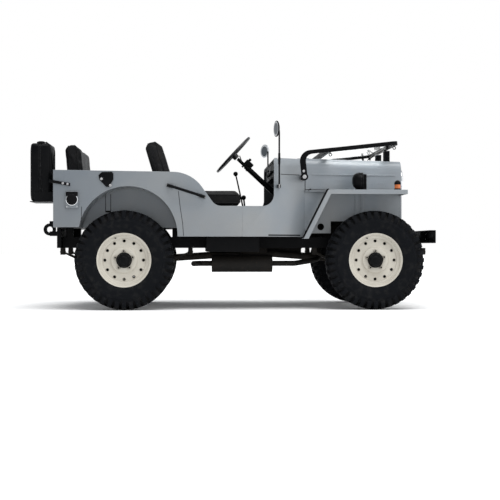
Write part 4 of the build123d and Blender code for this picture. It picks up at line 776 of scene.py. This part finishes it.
def makeFuelCan():
    look = canLook
    centre = place(*look["centre"])
    halfX, halfY, halfZ = look["half"]
    bm = bmesh.new()
    part = bmesh.new()
    half = [(0.004 - halfX, 0.02), (0.006 - halfX, 0.012), (0.012 - halfX, 0.005), (0.022 - halfX, 0.0),
            (-0.016, 0.0), (-look["seam"], look["sunk"])]
    stations = half + [(-x, inset) for x, inset in reversed(half)]
    rings = []
    for x, inset in stations:
        outline = roundedOutline(halfY - inset, halfZ - inset, look["corner"] - inset * 0.6)
        rings.append([part.verts.new((x, y, z)) for y, z in outline])
    count = len(rings[0])
    for near, far in zip(rings, rings[1:]):
        for k in range(count):
            part.faces.new((near[k], near[(k + 1) % count], far[(k + 1) % count], far[k]))
    part.faces.new(rings[0])
    part.faces.new(list(reversed(rings[-1])))
    bmesh.ops.recalc_face_normals(part, faces=part.faces)
    mergeIn(bm, part, 0, Matrix.Translation(centre))
    for face in (-1, 1):
        x = face * (halfX - 0.005)
        for lean in (-1, 1):
            ends = [Vector((x, -0.115, -0.165 * lean)), Vector((x, 0.115, 0.165 * lean))]
            line = [centre + ends[0].lerp(ends[1], k / 8) for k in range(9)]
            addBar(bm, line, [0.004] + [look["rib"]] * 7 + [0.004], 10)
        panel = roundedOutline(0.14, 0.2, 0.03)
        addBar(bm, [centre + Vector((x, y, z)) for y, z in panel], 0.005, 8, closed=True)
    # a bead of weld stands in the sunk seam
    weld = roundedOutline(halfY - look["sunk"], halfZ - look["sunk"], look["corner"])
    addBar(bm, [centre + Vector((0, y, z)) for y, z in weld], 0.003, 8, closed=True)
    reach, low, top = look["gripReach"], halfZ - 0.006, halfZ + look["gripRise"]
    for shift in (-1, 0, 1):
        x = shift * look["gripSpread"]
        line = roundCorners([(x, -reach, low), (x, 0.012 - reach, top), (x, reach - 0.012, top), (x, reach, low)],
                            0.012)
        addBar(bm, [centre + p for p in line], look["grip"], 10)
    spout = centre + Vector((0, -0.115, halfZ - 0.003))
    addTurned(bm, spoutNeck, spout, upZ, 28)
    addBar(bm, [spout + Vector((x, 0, 0.012)) for x in (-0.034, 0.034)], 0.004, 8)
    makePiece(bm, "fuelCan", [blackPaint], ("fuel_can",), sharp=30)


makeFuelCan()

# lamps: headlamps with chrome rings, amber markers under black caps, the blackout lamp and the side lamps

lampLook = {"grilleFace": 2295, "headY": 288, "headZ": 1066, "markerX": 2222, "markerY": 620, "fenderTop": 972,
            "hoodX": 1850, "hoodZ": 1046, "sideX": -410, "sideZ": 885}
headBucket = fromMm((-58, 0), (-58, 50), (-50, 66), (-30, 80), (0, 86.8))
headRing = fromMm((0, 96), (6, 96.6), (12, 95), (15.5, 90.5), (15, 86.5), (11, 84.5), (8, 84))
headLens = fromMm((8.5, 84.2), (11.5, 70), (14, 48), (15.2, 24), (15.6, 0))
markerBase = fromMm((0, 27.8), (6, 27.8), (9, 26.2), (14, 25.5), (14, 0))
markerLens = fromMm((13, 24.5), (30, 25.2), (48, 24), (50, 0))
markerCap = fromMm((46, 26.2), (50, 27.4), (56, 27.4), (66, 24), (74, 17), (80, 8.5), (81.5, 0))
hoodShell = fromMm((0, 0), (0.4, 18), (3.5, 33.5), (10.5, 46.5), (22, 58), (36, 65.5), (50, 69), (64, 69.4),
                   (65.5, 67.2), (70, 67.2), (71.5, 69.8), (83, 69.8), (84.8, 68), (84.5, 63), (79, 61), (78.5, 0))
sideBezel = fromMm((12.5, 47.5), (16.5, 47), (18, 44), (18, 42.5))
sideLens = fromMm((13, 44), (23, 42.5), (25.5, 39), (27, 30), (27.8, 0))
hoodGlass = fromMm((79, 60), (80, 40), (80.5, 0))
hoodPost = fromMm((0, 17), (6, 17.2), (9, 15), (14, 11), (30, 10.5))


def makeLamps():
    look = lampLook
    heads, markers, sideLamps = bmesh.new(), bmesh.new(), bmesh.new()
    for sign in sides.values():
        face = place(look["grilleFace"], sign * look["headY"], look["headZ"])
        for profile, steps, finish in ((headBucket, 48, 2), (headRing, 64, 0), (headLens, 64, 1)):
            addTurned(heads, profile, face, aheadX, steps, finish)
        addBolt(heads, face + Vector((0.01, 0, -0.0905)), aheadX, 0.0035, 3)
        foot = place(look["markerX"], sign * look["markerY"], look["fenderTop"])
        for profile, finish in ((markerBase, 0), (markerLens, 1), (markerCap, 0)):
            addTurned(markers, profile, foot, upZ, 32, finish)
        out = (0, sign, 0)
        plate = place(look["sideX"], sign * skinY, look["sideZ"])
        seat = Matrix.Translation(plate) @ Matrix.Rotation(radians(90 * sign), 4, "X").inverted()
        addPlate(sideLamps, roundedOutline(0.0515, 0.0675, 0.01), 0.0135, seat, 0.003, 3, finish=3)
        addTurned(sideLamps, sideBezel, plate, out, 40, finish=1)
        addTurned(sideLamps, sideLens, plate, out, 40)
        # black hood over the lamp, screws below it
        shade = [plate + Vector((x, sign * y, z)) for x, y, z in ((-0.048, 0.0125, 0.028), (0.048, 0.02, 0.064))]
        addBlock(sideLamps, [min(a, b) for a, b in zip(*shade)], [max(a, b) for a, b in zip(*shade)], 0.003, 2)
        for x in (-0.04, 0.04):
            addRivet(sideLamps, plate + Vector((x, sign * 0.0132, -0.056)), out, 0.005, 2)
    hood = place(look["hoodX"], -look["markerY"], look["hoodZ"])
    addTurned(markers, hoodShell, hood, aheadX, 56)
    addTurned(markers, hoodGlass, hood, aheadX, 40, finish=2)
    post = Vector((hood.x + 0.04, hood.y, look["fenderTop"] / 1000))
    addTurned(markers, hoodPost, post, upZ, 24)
    addBolt(markers, post + Vector((0.0, -0.01, 0.016)), (0, -1, 0), 0.006, 3)
    for bm, name, finishes, stood, sharp in (
        (heads, "headlampPair", [chrome, clearLens, blackPaint, zincBolt], "headlamps", 40),
        (markers, "fenderLampSet", [blackPaint, amberLens, clearLens, zincBolt], "fender_lamps", 32),
        (sideLamps, "sideLampPair", [blackPaint, chrome, zincBolt, bodyPaint], "side_lamps", 32),
    ):
        makePiece(bm, name, finishes, (stood,), sharp=sharp)


makeLamps()
print("can and lamps made")

# steering wheel: a moulded rim on three spoke pairs, with its hub and horn button

steerLook = {"hub": (912, 350, 1333), "drop": 43, "rimRadius": 0.2028, "rimTube": 0.0118, "rimSteps": 96,
             "grips": 24, "gripDepth": 0.0016, "spokes": (90, 210, 330), "spokeTube": 0.0052,
             "spokeLine": ((0.03, 0.22, 0.006), (0.115, 0.075, 0.004), (0.198, 0.042, 0.0))}
steerHub = fromMm((-13.5, 0), (-13.2, 12), (-11, 19.5), (-7, 21.5), (-7, 30), (-3, 33.5), (12, 33.5), (20, 29),
                  (44, 26.5), (45.8, 24), (45.8, 0))
hornButton = fromMm((-13.8, 0), (-13.6, 9), (-12.8, 10.5), (-11, 11))
switchKnob = fromMm((-10, 0), (-10, 6), (-4, 11), (4, 13), (12, 11), (16, 0))
columnBand = fromMm((-8, 23.6), (-8, 27.5), (8, 27.5), (8, 23.6))


def makeSteering():
    look = steerLook
    hub = place(*look["hub"])
    tilt = radians(look["drop"])
    down, up = Vector((cos(tilt), 0, -sin(tilt))), Vector((sin(tilt), 0, cos(tilt)))
    turn = axisTurn(hub, down)
    bm = bmesh.new()
    rim = []
    for k in range(look["rimSteps"]):
        angle = 2 * pi * k / look["rimSteps"]
        reach = look["rimRadius"] * (1 + look["gripDepth"] * cos(angle * look["grips"]))
        rim.append(turn @ Vector((reach * cos(angle), reach * sin(angle), 0)))
    addBar(bm, rim, look["rimTube"], 14, closed=True)
    for spoke in look["spokes"]:
        for split in (-1, 1):
            line = []
            for reach, spread, lift in look["spokeLine"]:
                angle = radians(spoke) + split * spread
                line.append(turn @ Vector((reach * cos(angle), reach * sin(angle), lift)))
            addBar(bm, line, look["spokeTube"], 10, finish=1)
    addTurned(bm, steerHub, hub, down, 40)
    addTurned(bm, hornButton, hub, down, 28, finish=1)
    makePiece(bm, "steeringWheel", [rimPlastic, blackPaint], ("steering_wheel",), "steering_wheel")
    # column tube with its bands, the switch box and lever on it
    bm = bmesh.new()
    start, end = hub + down * 0.052, hub + down * 0.727
    addBar(bm, [start, start + down * 0.1], 0.015, 24)
    tube = [start + down * 0.095, start + down * 0.1, end - down * 0.018, end - down * 0.012]
    addBar(bm, tube, [0.018, 0.0235, 0.0235, 0.0235], 24)
    box = seatOn(start + down * 0.105, down, Vector(acrossY), up)
    addBlock(bm, (-0.038, -0.026, 0.01), (0.04, 0.026, 0.058), 0.008, 3, move=box)
    addTurned(bm, switchKnob, start + down * 0.088 + up * 0.066, up, 20)
    lever = ((0.062, -0.02, 0), (0.04, -0.075, 0.012), (0.02, -0.12, 0.03))
    addBar(bm, [start + down * along + Vector((0, y, z)) for along, y, z in lever], 0.0045, 10)
    for along in (0.08, 0.13):
        addTurned(bm, columnBand, start + down * along, down, 28)
    makePiece(bm, "steeringColumn", [blackPaint], ("steering_column",))


makeSteering()

# mirrors: round heads on stalks with clamps and bolted feet, the glasses turned toward the car's right side

mirrorLook = {"x": 1246, "stalkY": 722, "headY": 778, "heights": {"right": 1453, "left": 1400}, "footZ": 985,
              "turns": {"right": 14, "left": 32}, "clampZ": 1218, "footY": 0.7285, "footHalf": 0.013}
mirrorHead = fromMm((-11.8, 0), (-11.8, 60.5), (-10.5, 64), (-6, 64.8), (-2, 63), (4, 52), (9, 30), (11.2, 12),
                    (11.8, 0))
mirrorRing = fromMm((-12, 0), (-11.9, 59))
mirrorFace = fromMm((-12.6, 0), (-12.5, 46.5))
mirrorBoss = fromMm((4, 0), (4, 12.5), (12, 12.5), (14, 9.5), (18, 0))
mirrorClamp = fromMm((-46, 7), (-44, 9.2), (-12, 9.4), (-10, 10.4), (10, 10.4), (12, 9.4), (44, 9.2), (46, 7))


def makeMirrors():
    look = mirrorLook
    bm = bmesh.new()
    for side, sign in sides.items():
        headZ = look["heights"][side]
        stalkZ = (look["footZ"], look["clampZ"], headZ - 6)
        foot, clamp, top = [place(look["x"], sign * look["stalkY"], z) for z in stalkZ]
        head = place(look["x"] - 20, sign * look["headY"], headZ)
        ahead = Matrix.Rotation(radians(look["turns"][side]), 3, "Z") @ Vector(aheadX)
        addBar(bm, roundCorners([foot, top, head + Vector((0.006, 0, -0.006))], 0.02), 0.0068, 12)
        for profile, finish in ((mirrorHead, 1 if side == "left" else 0), (mirrorRing, 1), (mirrorFace, 3)):
            addTurned(bm, profile, head, ahead, 48, finish)
        addTurned(bm, mirrorBoss, head + ahead * 0.002, ahead, 20)
        # swivel clamp on the stalk and the bracket at its foot
        addTurned(bm, mirrorClamp, clamp, upZ, 20)
        addBolt(bm, clamp + Vector((-0.01, 0, 0)), (-1, 0, 0), 0.007, 2)
        half = look["footHalf"]
        nearY, farY = sorted((sign * (cowlHalf(look["x"]) / 1000 - 0.003), sign * look["footY"]))
        addBlock(bm, (foot.x - half, nearY, foot.z), (foot.x + half, farY, foot.z + 2 * half), 0.004, 3)
        for z in (0.006, 0.02):
            addBolt(bm, foot + Vector((0, sign * 0.0065, z)), (0, sign, 0), 0.005, 2)
    makePiece(bm, "mirrorPair", [blackPaint, chrome, zincBolt, mirrorGlass], ("mirrors",), sharp=32)


makeMirrors()
print("steering and mirrors made")


# windscreen: strap eyes, stubs, stays and rivets on the frame, bolts and cups at the hinges

screenLook = {"pivot": (1452, 1075), "slope": 6.23, "height": 194, "start": 196, "end": 790, "armY": 706,
              "eyeY": 680, "eyeRadius": 0.011, "stubY": 679, "stayY": 420}
hingeCup = fromMm((-13.5, 29), (0.4, 29), (1.4, 27.5), (1.4, 0))
stayEye = fromMm((-8, 0), (-8, 11), (8, 11), (8, 0))


def screenPoint(along, y, up):
    # a point of the folded windscreen, along it, across and off the hinge line
    tilt = radians(screenLook["slope"])
    x = screenLook["pivot"][0] + along * cos(tilt) - up * sin(tilt)
    z = screenLook["pivot"][1] + along * sin(tilt) + up * cos(tilt)
    return place(x, y, z)


def makeScreenFittings():
    look = screenLook
    start, end, height = look["start"], look["end"], look["height"]
    ahead = (screenPoint(1, 0, 0) - screenPoint(0, 0, 0)).normalized()
    up = (screenPoint(0, 0, 1) - screenPoint(0, 0, 0)).normalized()
    bm = bmesh.new()
    for sign in sides.values():
        out = Vector((0, sign, 0))
        hinge = screenPoint(0, sign * look["armY"], 0)
        addBolt(bm, hinge, out, 0.013, 1)
        addTurned(bm, hingeCup, hinge, out, 32)
        addBolt(bm, screenPoint(-2, sign * look["armY"], 46), out, 0.008, 1)
        for along in (start + 34, end - 36):
            # eyes that hold the soft top's straps
            eye = screenPoint(along, sign * look["eyeY"], height - 38)
            turns = [2 * pi * k / 20 for k in range(20)]
            ring = [eye + (ahead * cos(t) + up * sin(t)) * look["eyeRadius"] for t in turns]
            addBar(bm, ring, 0.0034, 8, closed=True)
            addBar(bm, [eye + up * 0.01, eye + up * 0.024], 0.0045, 10)
        addBar(bm, [screenPoint(end - 92, sign * look["stubY"], height - drop) for drop in (12, 40)], 0.01, 12)
        # the stay from the frame down to its hook
        stay = [screenPoint(end - back, sign * look["stayY"], height - drop) for back, drop in ((24, 12), (70, 40))]
        addBar(bm, stay, 0.0055, 10)
        addTurned(bm, stayEye, stay[1], acrossY, 16)
    for along in (start + 26, end - 26):
        for y in range(-600, 601, 150):
            addRivet(bm, screenPoint(along, y, height + 13), up, 0.0045, 1)
    makePiece(bm, "screenFittings", [blackPaint, zincBolt], body="windscreen")


makeScreenFittings()

# seams, welts, bolts and small brackets over the body

trimLook = {"welt": 0.0052, "seam": 0.0021, "shutZ": 975, "strapX": -143, "strapY": 462, "strapHalf": 21,
            "wing": ((1461, 970.5), (1638, 970.5), (1461, 618))}
seamY = skinY + 0.3
trimSeams = [
    # joint lines of the quarter panel, the sill, the tail and the cowl's top, in mm on the left side
    [(436, seamY, 955), (452, seamY, 820), (470, seamY, 700), (478, seamY, 594)],
    [(948, seamY, 828), (948, seamY, 594)],
    [(-334, seamY, 830), (-338, seamY, 672)],
    [(x, cowlHalf(x) + 0.4, 1097) for x in (1262, 1420)],
]
trimBolts = [
    # spots on the left side, axis and size: pads, windscreen brackets, bumper, fenders and rear panel
    ([(-176, 733, 1052), (-106, 733, 1000)], acrossY, 0.0085),
    ([(1440, cowlHalf(1440) + 1, z) for z in (1090, 1060)], (0.48, 0.88, 0), 0.0085),
    ([(2510.5, y, z) for y in (250, 330) for z in (565, 620)], aheadX, 0.0106),
    ([(x, 440, 972.2) for x in (1720, 1860, 2050, 2180)], upZ, 0.0065),
    ([(-560.3, y, 1080) for y in (190, 570)], (-1, 0, 0), 0.006),
]


def makeCowlWings():
    # side panels that carry the cowl forward to the fenders' tails
    bm = bmesh.new()
    for sign in sides.values():
        part = bmesh.new()
        outer = [place(x, sign * (bonnetHalf(x) - 3), z) for x, z in trimLook["wing"]]
        inner = [p - Vector((0, sign * 0.004, 0)) for p in outer]
        rings = [[part.verts.new(p) for p in ring] for ring in (outer, inner)]
        lace(part, rings)
        mergeIn(bm, part)
    makePiece(bm, "cowlWings", [bodyPaint], sharp=30)


makeCowlWings()


def makeBodyTrim():
    look = trimLook
    seams, black = bmesh.new(), bmesh.new()
    for sign in sides.values():

        def line(bm, points, radius, flat):
            addBar(bm, [place(x, sign * y, z) for x, y, z in points], radius, 8, flat=flat, upHint=upZ)

        for points in trimSeams:
            line(seams, points, look["seam"], 0.5)
        # sill ledge under the cowl
        line(seams, [(x, cowlHalf(x) - 2, 604) for x in (1158, 1300, 1426)], 0.0055, 1.2)
        # welt between the fender's tail and the body
        line(black, [(1440, 714, 584), (1634, 714, 968), (1648, 714, 976)], 0.0075, 1.0)
        line(black, [(1500, 560, 974.5), (1500, 705, 974.5)], look["welt"], 1.0)
        # strap down the wheelhouse wall
        strapX, strapY = look["strapX"], sign * look["strapY"]
        for edge in (-look["strapHalf"], look["strapHalf"]):
            addBar(black, [place(strapX + edge, strapY + sign * 0.5, z) for z in (800, 940)], 0.0022, 6)
        addBlock(black, place(strapX - 23, strapY - 2, 792), place(strapX + 23, strapY + 2, 806), 0.0015, 2)
        for spots, (axisX, axisY, axisZ), size in trimBolts:
            for x, y, z in spots:
                addBolt(black, place(x, sign * y, z), (axisX, sign * axisY, axisZ), size, 1)
        for z in (1050, 1085):
            addRivet(black, place(1985, sign * 505, z), aheadX, 0.005, 1)
        # rubber along the bonnet's shut line
        shut = [place(x, sign * (bonnetHalf(x) + 5.5), look["shutZ"]) for x in (1474, 1540, 1600, 1652)]
        addBar(seams, shut, 0.0042, 8)
    for x, z in ((-482, 1016), (-445, 1010)):
        # the stay by the fuel can, on the right alone
        addBolt(black, place(x, -733, z), (0, -1, 0), 0.0075, 1)
    makePiece(seams, "bodySeams", [blackPaint])
    makePiece(black, "bodyBolts", [blackPaint, zincBolt])


makeBodyTrim()

# dashboard dials and switches, pedal pads and lever knobs

cabinLook = {"dashX": 1226, "dialZ": 1160, "dials": ((290, 0.026), (360, 0.036), (430, 0.026)), "switchZ": 1134,
             "leverFoot": 636, "pedals": (220, 310, 440), "railZ": 1135}
levers = [((1010, 0), (920, 0, 1140)), ((1000, -70), (985, -85, 930)), ((1000, -110), (985, -125, 930))]
leverRod = [0.0085, 0.008, 0.0072, 0.0066, 0.0062]
leverKnob = fromMm((-20, 0), (-19, 9), (-12, 16.5), (0, 20.5), (10, 18.5), (18, 10), (20.5, 0))
leverBoot = fromMm((4, 30), (12, 27), (18, 18), (34, 13), (36, 9))
dashSwitch = fromMm((0, 7), (10, 6), (12, 9), (18, 9), (20, 0))


def makeCabin():
    look = cabinLook
    dash, controls = bmesh.new(), bmesh.new()
    for y, radius in look["dials"]:
        face = place(look["dashX"], y, look["dialZ"])
        bezel = [(0.0, radius + 0.004), (0.005, radius + 0.004), (0.007, radius + 0.002), (0.006, radius),
                 (0.003, radius - 0.001), (0.003, 0.0)]
        addTurned(dash, bezel, face, (-1, 0, 0), 36)
        addTurned(dash, [(0.0038, radius - 0.002), (0.004, 0.0)], face, (-1, 0, 0), 32, finish=1)
        pivot = face + Vector((-0.0048, 0, 0))
        addBar(dash, [pivot, pivot + Vector((0, 0.6 * radius, 0.55 * radius))], 0.001, 6, finish=2)
    for y in range(-220, 221, 55):
        addTurned(dash, dashSwitch, place(look["dashX"], y, look["switchZ"]), (-1, 0, 0), 16)
    rail = [place(x, y, look["railZ"]) for x, y in ((1226, -430), (1196, -430), (1196, -250), (1226, -250))]
    addBar(dash, roundCorners(rail, 0.02), 0.0075, 10)
    for (footX, footY), spot in levers:
        foot, knob = place(footX, footY, look["leverFoot"]), place(*spot)
        middle = foot.lerp(knob, 0.45) + Vector((0.012, 0, 0))
        addBar(controls, [foot, foot.lerp(middle, 0.6), middle, middle.lerp(knob, 0.6), knob], leverRod, 12)
        addTurned(controls, leverKnob, knob, knob - middle, 24)
        addTurned(controls, leverBoot, foot - Vector((0, 0, 0.01)), upZ, 24)
    addBlock(controls, place(960, -130, 612), place(1060, 40, 642), 0.01, 3)
    for y in look["pedals"]:
        addBlock(controls, place(1340, y - 32, 700), place(1350, y + 32, 780), 0.004, 3)
        for z in range(708, 765, 14):
            addBlock(controls, place(1337.6, y - 27, z), place(1341, y + 27, z + 6), 0.001, 1)
        addBlock(controls, place(1346, y - 8, 732), place(1450.6, y + 8, 748), 0.003, 2)
    makePiece(dash, "dashFittings", [blackPaint, creamPaint, zincBolt])
    makePiece(controls, "driverControls", [blackPaint], ("driver_controls",))


makeCabin()

# handles and pads on the body sides

fittingLook = {"ends": ((352, 1002), (642, 910)), "reach": 0.045, "bar": 0.0115, "padX": (-203, -80),
               "padZ": (986, 1110), "padDepth": 0.0075}


def makeSideFittings():
    look = fittingLook
    bm = bmesh.new()
    for sign in sides.values():
        side = Vector((0, sign, 0))
        (x0, z0), (x1, z1) = look["ends"]
        way = Vector((x1 - x0, 0, z1 - z0)).normalized()
        start, end = [place(x, sign * skinY, z) for x, z in look["ends"]]
        out = side * look["reach"]
        line = roundCorners([start, start + out + way * 0.018, end + out - way * 0.018, end], 0.026)
        addBar(bm, line, look["bar"], 14)
        for foot in (start + way * 0.016, end - way * 0.016):
            # pressed foot with two bolts
            seat = seatOn(foot, way, -side.cross(way), side)
            addPlate(bm, roundedOutline(0.029, 0.0125, 0.01), 0.006, seat, 0.0015, 2)
            for along in (-0.02, 0.02):
                addBolt(bm, foot + way * along + side * 0.0062, side, 0.0062, 1)
        # pad ahead of the side lamp
        (px0, px1), (pz0, pz1) = look["padX"], look["padZ"]
        middle = (px0 + px1) / 2
        outline = [(px0 + 3, pz1 - 30), (px0 + 30, pz1 - 4), (px1 - 14, pz1 - 2), (px1 - 2, pz1 - 16),
                   (px1 - 2, pz0 + 62), (middle + 34, pz0 + 18), (middle + 22, pz0 + 2), (middle + 4, pz0 + 2),
                   (px0 + 12, pz1 - 66)]
        seat = seatOn(place(middle, sign * skinY, pz0), Vector(aheadX), Vector(upZ), Vector((0, -1, 0)))
        addPlate(bm, fromMm(*((x - middle, z - pz0) for x, z in outline)), -sign * look["padDepth"], seat, 0.002, 2)
    makePiece(bm, "sideFittings", [blackPaint, zincBolt], ("side_fittings",))


makeSideFittings()
print("fittings made")


# rubber sleeves over the bonnet's rests

restLook = {"along": 769, "y": 0.22, "half": 0.0255, "foot": 1.222, "slant": 0.0035}


def makeRests():
    look = restLook
    half = look["half"]
    bm = bmesh.new()
    middle = screenPoint(look["along"], 0, screenLook["height"] - 16)
    for sign in sides.values():
        low = Vector((middle.x - half, sign * look["y"] - half, look["foot"]))
        high = Vector((middle.x + half, sign * look["y"] + half, middle.z - 0.0095))
        addBlock(bm, low, high, 0.006, 3, slant=look["slant"])
    makePiece(bm, "restSleeves", [tyreRubber], body="bonnet")


makeRests()
print("rests made")


# floor, light and camera

stageLook = {"floorSize": 60.0, "floorTone": 0.86, "seenTone": 1.04, "skyTone": (0.96, 0.98, 1.0, 1),
             "skyStrength": 0.6}
sunLook = {"keyLight": (2.1, 46, (14, 6, 0)), "fillLight": (0.75, 60, (68, 0, 52))}  # strength, angle and turns
cameraLook = {"spot": (-0.312, -9.927, 0.513), "yaw": 2.73, "pitch": -0.18, "lens": 82.6}


def makeFloor():
    bm = bmesh.new()
    bmesh.ops.create_grid(bm, x_segments=2, y_segments=2, size=stageLook["floorSize"])
    floor = addObject(bm, "paleFloor")
    finish, tree, shader, coords = startFinish("paleFloor")
    tree.nodes.remove(shader)
    # lighter where it is seen than where it lights the car
    seen = addNode(tree, "LightPath").outputs
    direct = mathOf(tree, "MAXIMUM", seen["Is Camera Ray"], seen["Is Glossy Ray"])
    direct = mathOf(tree, "MAXIMUM", direct, seen["Is Transmission Ray"])
    shade = rangeOf(tree, direct, 0, 1, stageLook["floorTone"], stageLook["seenTone"])
    matt = addNode(tree, "BsdfDiffuse", {"Color": shade})
    tree.links.new(matt.outputs[0], tree.nodes["Material Output"].inputs["Surface"])
    floor.data.materials.append(finish)


def makeSky():
    world = bpy.data.worlds.new("studioSky")
    scene.world = world
    world.use_nodes = True
    tree = world.node_tree
    back = tree.nodes["Background"]
    setInputs(tree, back, {"Color": stageLook["skyTone"], "Strength": stageLook["skyStrength"]})
    white = addNode(tree, "Background", {"Color": (1, 1, 1, 1), "Strength": 1.0})
    seen = addNode(tree, "LightPath").outputs
    direct = mathOf(tree, "MAXIMUM", seen["Is Camera Ray"], seen["Is Transmission Ray"])
    pick = addNode(tree, "MixShader", {0: direct, 1: back.outputs[0], 2: white.outputs[0]})
    tree.links.new(pick.outputs[0], tree.nodes["World Output"].inputs["Surface"])


def makeSun(name, strength, angle, turn):
    lamp = bpy.data.lights.new(name, "SUN")
    lamp.energy = strength
    lamp.angle = radians(angle)
    holder = bpy.data.objects.new(name, lamp)
    holder.rotation_euler = [radians(t) for t in turn]
    scene.collection.objects.link(holder)


def makeCamera():
    lens = bpy.data.cameras.new("sideCamera")
    lens.lens = cameraLook["lens"]
    lens.sensor_width = 36.0
    lens.clip_end = 200.0
    camera = bpy.data.objects.new("sideCamera", lens)
    camera.location = cameraLook["spot"]
    camera.rotation_euler = (radians(90 + cameraLook["pitch"]), 0, -radians(cameraLook["yaw"]))
    scene.collection.objects.link(camera)
    scene.camera = camera


makeFloor()
makeSky()
for name, row in sunLook.items():
    makeSun(name, *row)
makeCamera()
scene.view_settings.view_transform = "Standard"
print("floor, light and camera set")
